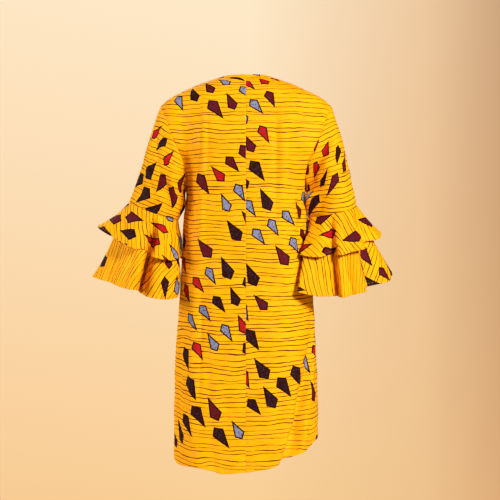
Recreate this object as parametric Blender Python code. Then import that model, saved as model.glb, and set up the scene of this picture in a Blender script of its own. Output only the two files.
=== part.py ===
"""Long coat with a centre back seam and two flounces at the end of each sleeve, as it hangs when worn.

Metres, +Z up, +Y behind the wearer, +X at the wearer's left. The origin is in the neck opening, between
the points where the shoulder seams meet the neck. Every piece of cloth is one closed wall. Its outer side is
a grid of points, rows going down and columns going across or around, and its inner side is the same grid
moved in by the wall's thickness. Pieces that are sewn together share their outer points at the seam, and
each is then cut back by half of the seam gap.
"""

import bpy
import numpy as np

for thing in list(bpy.data.objects):
    bpy.data.objects.remove(thing)

WALL = 0.0016
SEAM_GAP = 0.0003

# Rows of squares down each panel above and below the underarm, and columns from its centre edge to its
# side, of which the first few end at the neck and the rest at the shoulder seam
ROWS_ABOVE = 10
ROWS_BELOW = 13
COLUMNS = 15
NECK_COLUMNS = 5
SLEEVE_ROWS = 10
UPPER_FLOUNCE_ROWS = 4
LOWER_FLOUNCE_ROWS = 6
POINTS_BETWEEN_FLUTES = 4

UNDERARM_DROP = 0.2825
SHOULDER_TIP_DROP = 0.0775
BACK_NECK_DROP = 0.002
FRONT_NECK_DROP = 0.078
NECK_CURVE = 1.4
POINTS_MEASURED = 200
CLOSER_AT_TIP = 1.3
CLOSER_AT_NECK = 2.2
FRONT_EDGE_AT_NECK = 0.003
FRONT_EDGE_AT_HEM = 0.016
ARMHOLE_REACH = 2.0
SPREAD_POWER_AT_NECK = 0.5
SPREAD_POWER_AT_SIDE = 3.0
DIP_BELOW_UNDERARM = 0.055
DIP_POWER = 3.0
SIDE_SEAM_HOLDS = 8

WAX_PRINT_YELLOW = (0.90, 0.44, 0.012)
FLOUNCE_YELLOW = (0.86, 0.37, 0.012)
CLOTH_ROUGHNESS = 0.72
SHARP_EDGE_DEGREES = 50
ON_PLANE = 0.00001
SAME_POINT_DECIMALS = 6
LEVEL = np.array([1.0, 1.0, 0.0])

# At the shoulder tip and the underarm two panels meet a sleeve, whose direction counts as much as both
PANELS_AT_SEAM_END = 2


def table(names, *rows):
    """Give each column of a short table by its name."""
    return dict(zip(names.split(), np.array(rows, dtype=float).T))


# The torso's level sections are ovals, from an ellipse (2) at the neck to a fuller oval below. Between
# shoulder tip and underarm the half width runs on under the sleeve.
SECTIONS = table(
    "drop half_width back front fullness",
    (0.0000, 0.0575, 0.062, 0.056, 2.00),
    (0.0175, 0.1100, 0.075, 0.064, 2.05),
    (0.0375, 0.1550, 0.085, 0.074, 2.15),
    (0.0575, 0.1925, 0.093, 0.085, 2.25),
    (0.0775, 0.2140, 0.099, 0.096, 2.30),
    (0.1200, 0.2248, 0.109, 0.113, 2.40),
    (0.1500, 0.2300, 0.114, 0.122, 2.40),
    (0.1800, 0.2200, 0.117, 0.128, 2.40),
    (0.2100, 0.1910, 0.118, 0.131, 2.40),
    (0.2400, 0.1660, 0.118, 0.129, 2.40),
    (0.2825, 0.1490, 0.118, 0.125, 2.40),
    (0.3500, 0.1510, 0.120, 0.122, 2.40),
    (0.4500, 0.1580, 0.122, 0.122, 2.40),
    (0.5600, 0.1670, 0.128, 0.128, 2.40),
    (0.6600, 0.1730, 0.136, 0.134, 2.40),
    (0.7400, 0.1770, 0.143, 0.138, 2.40),
    (0.8300, 0.1785, 0.151, 0.143, 2.40),
    (0.9700, 0.1785, 0.160, 0.150, 2.40),
)

# The seam where a sleeve is set in, from the shoulder tip down to the underarm
ARMHOLE = table(
    "drop across",
    (0.0775, 0.2140),
    (0.0950, 0.2035),
    (0.1200, 0.1930),
    (0.1500, 0.1820),
    (0.1800, 0.1680),
    (0.2100, 0.1550),
    (0.2400, 0.1470),
    (0.2650, 0.1460),
    (0.2825, 0.1490),
)

# How far the hem lies below the neck, by the share of the way from the centre back to the centre front
HEM = table(
    "share left right",
    (0.00, 0.958, 0.958),
    (0.08, 0.962, 0.948),
    (0.18, 0.952, 0.931),
    (0.26, 0.952, 0.919),
    (0.36, 0.953, 0.900),
    (0.50, 0.940, 0.896),
    (0.65, 0.934, 0.904),
    (0.82, 0.930, 0.914),
    (1.00, 0.926, 0.920),
)

# Large folds of the body. A fold's line is given by its share of the half width at three drops; it starts
# at the first drop, is fully deep at the second and runs on to the third. A minus depth is a ridge.
FOLDS = table(
    "side face drop_start drop_full drop_end share_start share_full share_end depth width",
    (-1, 1, 0.62, 0.84, 0.97, 0.93, 0.76, 0.50, 0.024, 0.095),
    (-1, 1, 0.60, 0.84, 0.97, 0.78, 0.58, 0.30, -0.006, 0.110),
    (1, 1, 0.30, 0.60, 0.97, 0.60, 0.58, 0.44, 0.006, 0.070),
    (1, 1, 0.12, 0.30, 0.97, 0.72, 0.74, 0.62, -0.004, 0.080),
    (-1, -1, 0.45, 0.80, 0.97, 0.66, 0.60, 0.55, 0.012, 0.100),
    (1, -1, 0.45, 0.80, 0.97, 0.60, 0.64, 0.68, 0.013, 0.100),
)

# How far outward and backward the sleeve's cloth leaves the armhole, against 1 downward
LEAVES_OUT_AT_TOP = 0.35
LEAVES_OUT_MORE = 0.75
LEAVES_BACK = 0.25

# The seam between sleeve and flounces is a flat oval around the sleeve's axis, which leans out and forward
SLEEVES = table(
    "side lean_out lean_fore out back drop half_across half_deep",
    (1, 0.4045, 0.130, 0.2312, 0.000, 0.3338, 0.0634, 0.056),
    (-1, 0.2260, 0.130, 0.2175, 0.008, 0.3362, 0.0605, 0.056),
)

# Ridges and valleys of the lower flounces at their edge, around a centre line that the flounce hangs from.
# The angle is 0 at the outside, 90 behind, 180 at the body and 270 in front.
FLOUNCE_CENTRE = table(
    "side out back",
    (1, 0.270, 0.000),
    (-1, 0.235, 0.030),
)
LEFT_FLUTES = table(
    "angle reach drop",
    (0, 0.1140, 0.4975),
    (44, 0.0880, 0.5130),
    (90, 0.0980, 0.5300),
    (104, 0.0520, 0.5360),
    (118, 0.0920, 0.5460),
    (135, 0.1120, 0.5530),
    (158, 0.0960, 0.5460),
    (182, 0.0800, 0.5400),
    (206, 0.1020, 0.5430),
    (232, 0.0640, 0.5350),
    (260, 0.1060, 0.5340),
    (290, 0.0660, 0.5250),
    (318, 0.1120, 0.5120),
    (340, 0.0800, 0.5020),
)
RIGHT_FLUTES = table(
    "angle reach drop",
    (5, 0.1200, 0.5090),
    (32, 0.0800, 0.5230),
    (58, 0.1010, 0.5330),
    (80, 0.0800, 0.5420),
    (96, 0.0900, 0.5480),
    (109, 0.0680, 0.5440),
    (123, 0.1060, 0.5430),
    (141, 0.1400, 0.5330),
    (154, 0.0780, 0.5350),
    (172, 0.0520, 0.5350),
    (194, 0.0500, 0.5340),
    (220, 0.0780, 0.5350),
    (246, 0.1100, 0.5340),
    (272, 0.0700, 0.5280),
    (300, 0.1140, 0.5160),
    (324, 0.0820, 0.5020),
    (346, 0.1340, 0.4850),
)
FLARE = 0.2

# The upper flounce lies over the lower one and stands off it by this much at its edge, lifted by this much
UPPER_SHARE = 0.49
UPPER_SEAM_OFFSET = WALL + SEAM_GAP
UPPER_FLARE_POWER = 1.3
LEFT_UPPER = table(
    "angle stand_off lift",
    (0, 0.042, 0.014),
    (44, 0.022, 0.005),
    (90, 0.015, 0.000),
    (112, 0.011, 0.000),
    (135, 0.015, 0.000),
    (182, 0.006, 0.000),
    (232, 0.012, 0.000),
    (290, 0.018, 0.005),
    (330, 0.030, 0.015),
)
RIGHT_UPPER = table(
    "angle stand_off lift",
    (5, 0.016, 0.004),
    (32, 0.009, 0.000),
    (58, 0.018, 0.000),
    (100, 0.011, 0.000),
    (135, 0.013, 0.000),
    (170, 0.005, 0.000),
    (218, 0.009, 0.000),
    (270, 0.016, 0.000),
    (324, 0.016, 0.002),
    (346, 0.024, 0.008),
)
FLUTES = {1: LEFT_FLUTES, -1: RIGHT_FLUTES}
UPPER_EDGES = {1: LEFT_UPPER, -1: RIGHT_UPPER}


def through(known, values, at, around=0.0):
    """Read a smooth curve through a table's rows: cubic pieces whose slopes are those of their neighbours.

    With around, the rows go round and repeat after that much.
    """
    at = np.asarray(at, dtype=float)
    if around:
        known = np.concatenate([known[-3:] - around, known, known[:3] + around])
        values = np.concatenate([values[-3:], values, values[:3]])
        at = np.mod(at, around)
    slope = np.gradient(values, known)
    row = np.clip(np.searchsorted(known, at, side="right") - 1, 0, len(known) - 2)
    width = known[row + 1] - known[row]
    t = np.clip((at - known[row]) / width, 0.0, 1.0)
    rise = values[row + 1] - values[row]
    start = width * slope[row]
    end = width * slope[row + 1]
    return values[row] + t * start + t**2 * (3 * rise - 2 * start - end) + t**3 * (start + end - 2 * rise)


def unit(vectors):
    """Scale vectors to length 1."""
    return vectors / np.linalg.norm(vectors, axis=-1, keepdims=True)


def oval_across(turn, fullness):
    """Give the share of its half width that an oval's point has, turn 0 at the centre and 1 at the side."""
    return np.sin(turn * np.pi / 2) ** (2 / fullness)


def half_width(drop):
    """Give the torso's half width at a drop below the neck."""
    return through(SECTIONS["drop"], SECTIONS["half_width"], drop)


def torso(side, face, across, drop):
    """Put points on the torso: the depth is that of the oval with this width and depth at this drop."""
    deep = through(SECTIONS["drop"], SECTIONS["back" if face > 0 else "front"], drop)
    fullness = through(SECTIONS["drop"], SECTIONS["fullness"], drop)
    share = np.clip(across / half_width(drop), 0.0, 1.0)
    depth = deep * (1 - share**fullness) ** (1 / fullness)
    return np.stack([side * across, face * depth, -drop], axis=-1)


def at_shares(shares, face, across, drop):
    """Give across and drop at shares of the length of a line that lies on the torso."""
    points = torso(1, face, across, drop)
    length = np.concatenate([[0.0], np.cumsum(np.linalg.norm(np.diff(points, axis=0), axis=1))])
    wanted = shares * length[-1]
    return np.interp(wanted, length, across), np.interp(wanted, length, drop)


def armhole(shares):
    """Give across and drop at shares of the armhole's length, from the shoulder tip to the underarm."""
    drop = np.linspace(SHOULDER_TIP_DROP, UNDERARM_DROP, POINTS_MEASURED)
    return at_shares(shares, 1, through(ARMHOLE["drop"], ARMHOLE["across"], drop), drop)


def neck_edge(shares, face):
    """Give across and drop at shares of the neck edge's length, from the centre to the shoulder seam."""
    turn = np.linspace(0.0, 1.0, POINTS_MEASURED)
    across = SECTIONS["half_width"][0] * oval_across(turn, SECTIONS["fullness"][0])
    deepest = BACK_NECK_DROP if face > 0 else FRONT_NECK_DROP
    drop = deepest * np.clip(np.cos(turn * np.pi / 2), 0.0, 1.0) ** NECK_CURVE
    return at_shares(shares, face, across, drop)


def armhole_shares():
    """Give the shares of the armhole's length at which the rows end, a little closer at the top."""
    return np.linspace(0.0, 1.0, ROWS_ABOVE + 1) ** CLOSER_AT_TIP


def front_edge(drop):
    """Give how far each front edge lies from the centre front."""
    share = np.clip(drop / HEM["left"][-1], 0.0, 1.0)
    return FRONT_EDGE_AT_NECK + (FRONT_EDGE_AT_HEM - FRONT_EDGE_AT_NECK) * share**2


def dividing_drop(column):
    """Give the drop of the row that ends at the underarm; it dips below it towards the panel's centre."""
    return UNDERARM_DROP + DIP_BELOW_UNDERARM * (1 - column**DIP_POWER)


def upper_grid(face):
    """Make a panel's points from neck and shoulder down to the row that ends at the underarm.

    Across and drop are worked out as on a flat pattern. Lines run down from the top edge, drawn in to the
    armhole near the panel's side, and into the spread of the oval below, which those from the neck reach
    sooner. Rows lie closer together near the top edge, where the cloth rounds over the shoulder.
    """
    column = np.linspace(0.0, 1.0, COLUMNS + 1)[None, :]
    row = np.linspace(0.0, 1.0, ROWS_ABOVE + 1)[:, None] ** (
        CLOSER_AT_NECK + (CLOSER_AT_TIP - CLOSER_AT_NECK) * column
    )
    neck_share = NECK_COLUMNS / COLUMNS
    neck_across, neck_drop = neck_edge(np.clip(column / neck_share, 0.0, 1.0), face)
    along_shoulder = np.clip((column - neck_share) / (1 - neck_share), 0.0, 1.0)
    shoulder_drop = SHOULDER_TIP_DROP * along_shoulder
    top_drop = np.where(column < neck_share, neck_drop, shoulder_drop)
    top_across = np.where(column < neck_share, neck_across, half_width(shoulder_drop))
    low_drop = dividing_drop(column)
    low_across = half_width(low_drop) * oval_across(column, SECTIONS["fullness"][-1])
    arm_across, arm_drop = armhole(armhole_shares()[:, None])
    drawn_in = along_shoulder * (2 - along_shoulder)
    high = top_across * (1 - drawn_in * (1 - arm_across / arm_across[0]))
    low = low_across * arm_across / low_across[:, -1:]
    spread_power = SPREAD_POWER_AT_NECK + (SPREAD_POWER_AT_SIDE - SPREAD_POWER_AT_NECK) * along_shoulder
    spread_low = row**spread_power
    drop = (1 - row) * top_drop + row * low_drop
    drop = drop + column**ARMHOLE_REACH * (arm_drop - (1 - row) * SHOULDER_TIP_DROP - row * UNDERARM_DROP)
    return (1 - spread_low) * high + spread_low * low, drop


def lower_grid(side, face):
    """Make a panel's points from below the row that ends at the underarm down to the hem."""
    column = np.linspace(0.0, 1.0, COLUMNS + 1)[None, :]
    row = np.linspace(0.0, 1.0, ROWS_BELOW + 1)[1:, None]
    way_round = column / 2 if face > 0 else 1 - column / 2
    hem_drop = through(HEM["share"], HEM["left" if side > 0 else "right"], way_round)
    high_drop = dividing_drop(column)
    drop = high_drop + (hem_drop - high_drop) * row
    return half_width(drop) * oval_across(column, SECTIONS["fullness"][-1]), drop


def folded(side, face, across, drop, points):
    """Push the folds in: each is a soft trough or ridge that grows from nothing to its full depth."""
    outward = unit(points * LEVEL)
    share = across / half_width(drop)
    push = np.zeros_like(across)
    for number in range(len(FOLDS["side"])):
        fold = {name: column[number] for name, column in FOLDS.items()}
        if fold["side"] != side or fold["face"] != face:
            continue
        drops = np.array([fold["drop_start"], fold["drop_full"], fold["drop_end"]])
        shares = np.array([fold["share_start"], fold["share_full"], fold["share_end"]])
        line = np.interp(drop, drops, shares)
        grown = np.clip((drop - drops[0]) / (drops[1] - drops[0]), 0.0, 1.0)
        grown = grown**2 * (3 - 2 * grown)
        push = push + fold["depth"] * grown * np.exp(-(((share - line) / fold["width"]) ** 2))
    push = push * (1 - share**SIDE_SEAM_HOLDS)
    return points - push[..., None] * outward


def body_panel(side, face):
    """Make the outer points of one back or front."""
    above_across, above_drop = upper_grid(face)
    below_across, below_drop = lower_grid(side, face)
    across = np.concatenate([above_across, below_across])
    drop = np.concatenate([above_drop, below_drop])
    if face < 0:
        across = across + front_edge(drop) * np.clip(1 - across / half_width(drop), 0.0, 1.0) ** 2
    return folded(side, face, across, drop, torso(side, face, across, drop))


def sleeve_facts(side):
    """Give the centre of a sleeve's seam oval, the sleeve's axis and the oval's two half axes."""
    row = 0 if side > 0 else 1
    facts = {name: column[row] for name, column in SLEEVES.items()}
    axis = unit(np.array([facts["lean_out"], -facts["lean_fore"], -1.0]))
    out = unit(np.array([1.0, 0.0, facts["lean_out"]]))
    back = np.cross(out, axis)
    back = back * np.sign(back[1])
    centre = np.array([facts["out"], facts["back"], -facts["drop"]])
    return centre, axis, out * facts["half_across"], back * facts["half_deep"]


def seam_oval(side, angle):
    """Give points of the seam between sleeve and flounces, and the directions straight out of it."""
    centre, axis, out, back = sleeve_facts(side)
    cosine = np.cos(angle)[:, None]
    sine = np.sin(angle)[:, None]
    points = centre + cosine * out + sine * back
    away = unit(cosine * out / np.dot(out, out) + sine * back / np.dot(back, back))
    mirror = np.array([side, 1.0, 1.0])
    return points * mirror, away * mirror


def sleeve_angles():
    """Give the angle of each line down a sleeve: 0 at its top, 90 degrees behind, 180 at the underarm."""
    behind = np.pi * armhole_shares()
    return np.concatenate([behind, 2 * np.pi - behind[-2:0:-1]])


def sleeve(side, back_edge, front_edge_points):
    """Make a sleeve's outer points from the armhole to the seam oval.

    Each line down the sleeve is a cubic curve that leaves the armhole outwards and down, further out behind
    and in front than at the top, and arrives at the oval along the sleeve's axis.
    """
    ring = np.concatenate([back_edge, front_edge_points[-2:0:-1]])
    angle = sleeve_angles()
    end = seam_oval(side, angle)[0]
    axis = sleeve_facts(side)[1] * np.array([side, 1.0, 1.0])
    outward = LEAVES_OUT_AT_TOP + LEAVES_OUT_MORE * np.sin(angle) ** 2
    leave = np.stack([side * outward, LEAVES_BACK * np.sin(angle), -np.ones_like(angle)], axis=-1)
    reach = np.linalg.norm(end - ring, axis=1, keepdims=True)
    t = np.linspace(0.0, 1.0, SLEEVE_ROWS + 1)[:, None, None]
    start = unit(leave) * reach
    finish = axis * reach
    points = (2 * t**3 - 3 * t**2 + 1) * ring + (t**3 - 2 * t**2 + t) * start
    return points + (3 * t**2 - 2 * t**3) * end + (t**3 - t**2) * finish


def flounce_angles(side):
    """Give the angles of a flounce's lines, evenly spread between each ridge and the next valley."""
    known = FLUTES[side]["angle"]
    rows = np.append(known, known[0] + 360.0)
    steps = np.linspace(0, len(known), len(known) * POINTS_BETWEEN_FLUTES, endpoint=False)
    return np.interp(steps, np.arange(len(rows)), rows)


def lower_flounce(side, rows=LOWER_FLOUNCE_ROWS, length_share=1.0):
    """Make the lower flounce: lines from the seam oval to its waved edge, flaring more lower down."""
    degrees = flounce_angles(side)
    angle = np.radians(degrees)
    flutes = FLUTES[side]
    centre = {name: column[0 if side > 0 else 1] for name, column in FLOUNCE_CENTRE.items()}
    top = seam_oval(side, angle)[0]
    reach = through(flutes["angle"], flutes["reach"], degrees, around=360.0)
    drop = through(flutes["angle"], flutes["drop"], degrees, around=360.0)
    out = centre["out"] + reach * np.cos(angle)
    back = centre["back"] + reach * np.sin(angle)
    edge = np.stack([side * out, back, -drop], axis=-1)
    down = np.linspace(0.0, length_share, rows + 1)[:, None]
    spread = down * (1 - FLARE + FLARE * down)
    level = (top + (edge - top) * spread[..., None])[..., :2]
    height = top[:, 2] + (edge[:, 2] - top[:, 2]) * down
    return np.concatenate([level, height[..., None]], axis=-1)


def upper_flounce(side):
    """Make the upper flounce: the top part of the lower one, moved out by its stand off and lifted."""
    degrees = flounce_angles(side)
    angle = np.radians(degrees)
    edge = UPPER_EDGES[side]
    under = lower_flounce(side, UPPER_FLOUNCE_ROWS, UPPER_SHARE)
    away = seam_oval(side, angle)[1]
    stand_off = through(edge["angle"], edge["stand_off"], degrees, around=360.0)
    lift = through(edge["angle"], edge["lift"], degrees, around=360.0)
    down = np.linspace(0.0, 1.0, UPPER_FLOUNCE_ROWS + 1)[:, None]
    out = UPPER_SEAM_OFFSET + stand_off * down**UPPER_FLARE_POWER
    points = under + out[..., None] * away
    points[..., 2] += lift * down**2
    return points


def grid_normals(points, turned, around):
    """Give the direction out of the cloth at each point, square to both ways across the grid."""
    if around:
        across = np.roll(points, -1, axis=1) - np.roll(points, 1, axis=1)
    else:
        across = np.gradient(points, axis=1)
    return unit(turned * np.cross(across, np.gradient(points, axis=0)))


def share_normals(pieces):
    """Give points that are sewn together one direction out, the mean of their own.

    Shoulder and side seams lie in the plane between front and back, and the centre back seam in the middle
    plane, so there the direction has nothing square to that plane.
    """
    points = np.concatenate([piece["points"].reshape(-1, 3) for piece in pieces])
    normals = np.concatenate([piece["normals"].reshape(-1, 3) for piece in pieces])
    places, same = np.unique(np.round(points, SAME_POINT_DECIMALS), axis=0, return_inverse=True)
    total = np.zeros_like(places)
    np.add.at(total, same.ravel(), normals)
    total[:, 0] = np.where(np.abs(places[:, 0]) < ON_PLANE, 0.0, total[:, 0])
    total[:, 1] = np.where(np.abs(places[:, 1]) < ON_PLANE, 0.0, total[:, 1])
    shared = unit(total)[same.ravel()]
    first = 0
    for piece in pieces:
        count = piece["points"].size // 3
        piece["normals"] = shared[first:first + count].reshape(piece["points"].shape)
        first += count


def step_in(edge, inside):
    """Give the move that takes an edge in by half the seam gap, square to the edge."""
    along = unit(np.gradient(edge, axis=0))
    toward = inside - edge
    toward = toward - along * np.sum(toward * along, axis=-1, keepdims=True)
    return unit(toward) * SEAM_GAP / 2


def cut_back(points, around):
    """Cut a piece back by half the seam gap on every edge."""
    cut = points.copy()
    cut[0] += step_in(points[0], points[1])
    cut[-1] += step_in(points[-1], points[-2])
    if not around:
        cut[:, 0] += step_in(points[:, 0], points[:, 1])
        cut[:, -1] += step_in(points[:, -1], points[:, -2])
    return cut


def wall_faces(rows, columns, around, turned):
    """List the four-sided faces of a wall: outer side, inner side and the edges that close it."""
    outer = np.arange(rows * columns).reshape(rows, columns)
    if around:
        outer = np.concatenate([outer, outer[:, :1]], axis=1)
    inner = outer + rows * columns
    faces = [
        np.stack([outer[:-1, :-1], outer[:-1, 1:], outer[1:, 1:], outer[1:, :-1]], axis=-1),
        np.stack([inner[:-1, :-1], inner[1:, :-1], inner[1:, 1:], inner[:-1, 1:]], axis=-1),
        np.stack([outer[0, 1:], outer[0, :-1], inner[0, :-1], inner[0, 1:]], axis=-1),
        np.stack([outer[-1, :-1], outer[-1, 1:], inner[-1, 1:], inner[-1, :-1]], axis=-1),
    ]
    if not around:
        faces.append(np.stack([outer[:-1, 0], outer[1:, 0], inner[1:, 0], inner[:-1, 0]], axis=-1))
        faces.append(np.stack([outer[1:, -1], outer[:-1, -1], inner[:-1, -1], inner[1:, -1]], axis=-1))
    listed = np.concatenate([face.reshape(-1, 4) for face in faces])
    return listed if turned > 0 else listed[:, ::-1]


def cloth_material(name, colour):
    """Make the cotton's material."""
    material = bpy.data.materials.new(name)
    material.use_nodes = True
    shader = material.node_tree.nodes["Principled BSDF"]
    shader.inputs["Base Color"].default_value = (*colour, 1.0)
    shader.inputs["Roughness"].default_value = CLOTH_ROUGHNESS
    shader.inputs["Metallic"].default_value = 0.0
    return material


def add_wall(piece):
    """Make one piece's closed wall as an object with its own material."""
    rows, columns = piece["points"].shape[:2]
    outer = cut_back(piece["points"], piece["around"])
    inner = outer - WALL * piece["normals"]
    points = np.concatenate([outer.reshape(-1, 3), inner.reshape(-1, 3)])
    faces = wall_faces(rows, columns, piece["around"], piece["turned"])
    mesh = bpy.data.meshes.new(piece["name"])
    mesh.from_pydata(points.tolist(), [], faces.tolist())
    mesh.materials.append(cloth_material(piece["name"], piece["colour"]))
    mesh.shade_smooth()
    mesh.set_sharp_from_angle(angle=np.radians(SHARP_EDGE_DEGREES))
    thing = bpy.data.objects.new(piece["name"], mesh)
    bpy.context.scene.collection.objects.link(thing)


def make_piece(name, points, turned, around, colour=WAX_PRINT_YELLOW):
    """Keep a piece's outer points with what is needed to build its wall."""
    normals = grid_normals(points, turned, around)
    return {
        "name": name,
        "points": points,
        "normals": normals,
        "turned": turned,
        "around": around,
        "colour": colour,
    }


def build_coat():
    """Build the ten pieces of cloth."""
    sewn = []
    flounces = []
    for side, word in ((1, "left"), (-1, "right")):
        back = body_panel(side, 1)
        front = body_panel(side, -1)
        arm = sleeve(side, back[:ROWS_ABOVE + 1, -1], front[:ROWS_ABOVE + 1, -1])
        set_in = make_piece("sleeve_" + word, arm, -side, True)
        set_in["normals"][0, [0, ROWS_ABOVE]] *= PANELS_AT_SEAM_END
        sewn.append(make_piece("back_" + word, back, side, False))
        sewn.append(make_piece("front_" + word, front, -side, False))
        sewn.append(set_in)
        lower = make_piece("lower_flounce_" + word, lower_flounce(side), -side, True, FLOUNCE_YELLOW)
        upper = make_piece("upper_flounce_" + word, upper_flounce(side), -side, True, FLOUNCE_YELLOW)
        away = seam_oval(side, np.radians(flounce_angles(side)))[1]
        lower["normals"][0] = away
        upper["normals"][0] = away
        flounces += [lower, upper]
    share_normals(sewn)
    for piece in sewn:
        if piece["name"].startswith("sleeve"):
            piece["normals"][-1] = seam_oval(-piece["turned"], sleeve_angles())[1]
    for piece in sewn + flounces:
        add_wall(piece)


build_coat()
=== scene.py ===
"""A long coat of printed cotton with flounced sleeves, made as a lesson in cells.

Metres, +Z up, +Y behind the wearer, +X at the wearer's left. The origin is in the neck opening.
"""

import bpy
import numpy as np
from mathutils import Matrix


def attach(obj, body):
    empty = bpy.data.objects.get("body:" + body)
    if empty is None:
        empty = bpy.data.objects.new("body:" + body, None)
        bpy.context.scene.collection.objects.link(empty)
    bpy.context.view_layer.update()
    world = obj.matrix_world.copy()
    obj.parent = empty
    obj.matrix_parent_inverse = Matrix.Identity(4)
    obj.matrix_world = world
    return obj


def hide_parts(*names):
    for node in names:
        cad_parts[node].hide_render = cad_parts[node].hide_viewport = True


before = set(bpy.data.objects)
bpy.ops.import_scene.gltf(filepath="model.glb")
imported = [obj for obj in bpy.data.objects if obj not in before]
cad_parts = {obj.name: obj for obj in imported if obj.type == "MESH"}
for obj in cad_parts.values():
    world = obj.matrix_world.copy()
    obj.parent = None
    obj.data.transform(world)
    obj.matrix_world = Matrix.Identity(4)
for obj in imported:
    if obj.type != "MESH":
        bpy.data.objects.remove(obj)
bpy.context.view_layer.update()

print("nodes in the frame:", ", ".join(sorted(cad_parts)))

# %% [markdown]
# ## How the coat is cut
#
# The real coat is cut from ten pieces: two backs with a seam down the middle, two fronts, two sleeves,
# and at each elbow two flounces. A flounce is cut as part of a ring, so its inner edge is as long as
# the seam it is sewn into and its outer edge is much longer. The extra length falls into flutes by
# itself.
#
# One way to get such a form is to simulate cloth on a body. Here the forms are worked out instead, from
# level sections, an armhole curve and tables of flutes, because each fold then stays where it was seen
# and the script gives the same coat every time.

# %% Tables of the torso
def table(names, *rows):
    """Give each column of a short table by its name."""
    return dict(zip(names.split(), np.array(rows, dtype=float).T))


def rows_of(known, side):
    """Go through a table's rows for one side of the coat, each as values by name."""
    for values in zip(*known.values()):
        row = dict(zip(known, values))
        if row["side"] == side:
            yield row


# Level sections of the torso: ovals, from an ellipse (2) at the neck to a fuller oval below
SECTIONS = table(
    "drop half_width back front fullness",
    (0.0000, 0.0575, 0.062, 0.056, 2.00),
    (0.0175, 0.1100, 0.075, 0.064, 2.05),
    (0.0375, 0.1550, 0.085, 0.074, 2.15),
    (0.0575, 0.1925, 0.093, 0.085, 2.25),
    (0.0775, 0.2140, 0.099, 0.096, 2.30),
    (0.1200, 0.2248, 0.109, 0.113, 2.40),
    (0.1500, 0.2300, 0.114, 0.122, 2.40),
    (0.1800, 0.2200, 0.117, 0.128, 2.40),
    (0.2100, 0.1910, 0.118, 0.131, 2.40),
    (0.2400, 0.1660, 0.118, 0.129, 2.40),
    (0.2825, 0.1490, 0.118, 0.125, 2.40),
    (0.3500, 0.1510, 0.120, 0.122, 2.40),
    (0.4500, 0.1580, 0.122, 0.122, 2.40),
    (0.5600, 0.1670, 0.128, 0.128, 2.40),
    (0.6600, 0.1730, 0.136, 0.134, 2.40),
    (0.7400, 0.1770, 0.143, 0.138, 2.40),
    (0.8300, 0.1785, 0.151, 0.143, 2.40),
    (0.9700, 0.1785, 0.160, 0.150, 2.40),
)

# The seam where a sleeve is set in, from the shoulder tip down to the underarm
ARMHOLE = table(
    "drop across",
    (0.0775, 0.2140),
    (0.0950, 0.2035),
    (0.1200, 0.1930),
    (0.1500, 0.1820),
    (0.1800, 0.1680),
    (0.2100, 0.1550),
    (0.2400, 0.1470),
    (0.2650, 0.1460),
    (0.2825, 0.1490),
)

# The hem's drop below the neck, by the share of the way round from the centre back to the centre front
HEM = table(
    "share left right",
    (0.00, 0.958, 0.958),
    (0.08, 0.962, 0.948),
    (0.18, 0.952, 0.931),
    (0.26, 0.952, 0.919),
    (0.36, 0.953, 0.900),
    (0.50, 0.940, 0.896),
    (0.65, 0.934, 0.904),
    (0.82, 0.930, 0.914),
    (1.00, 0.926, 0.920),
)

# Large folds of the body, each a line that starts, is fully deep and ends. A minus depth is a ridge.
FOLDS = table(
    "side face drop_start drop_full drop_end share_start share_full share_end depth width",
    (-1, 1, 0.62, 0.84, 0.97, 0.93, 0.76, 0.50, 0.024, 0.095),
    (-1, 1, 0.60, 0.84, 0.97, 0.78, 0.58, 0.30, -0.006, 0.110),
    (1, 1, 0.30, 0.60, 0.97, 0.60, 0.58, 0.44, 0.006, 0.070),
    (1, 1, 0.12, 0.30, 0.97, 0.72, 0.74, 0.62, -0.004, 0.080),
    (-1, -1, 0.45, 0.80, 0.97, 0.66, 0.60, 0.55, 0.012, 0.100),
    (1, -1, 0.45, 0.80, 0.97, 0.60, 0.64, 0.68, 0.013, 0.100),
)

print("widest level section of the torso:", round(2 * SECTIONS["half_width"].max(), 3), "m")

# %% Tables of the sleeves and flounces
# The seam between sleeve and flounces: a flat oval around the sleeve's axis, which leans out and forward
SLEEVES = table(
    "side lean_out lean_fore out back drop half_across half_deep",
    (1, 0.4045, 0.130, 0.2312, 0.000, 0.3338, 0.0634, 0.056),
    (-1, 0.2260, 0.130, 0.2175, 0.008, 0.3362, 0.0605, 0.056),
)

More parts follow.
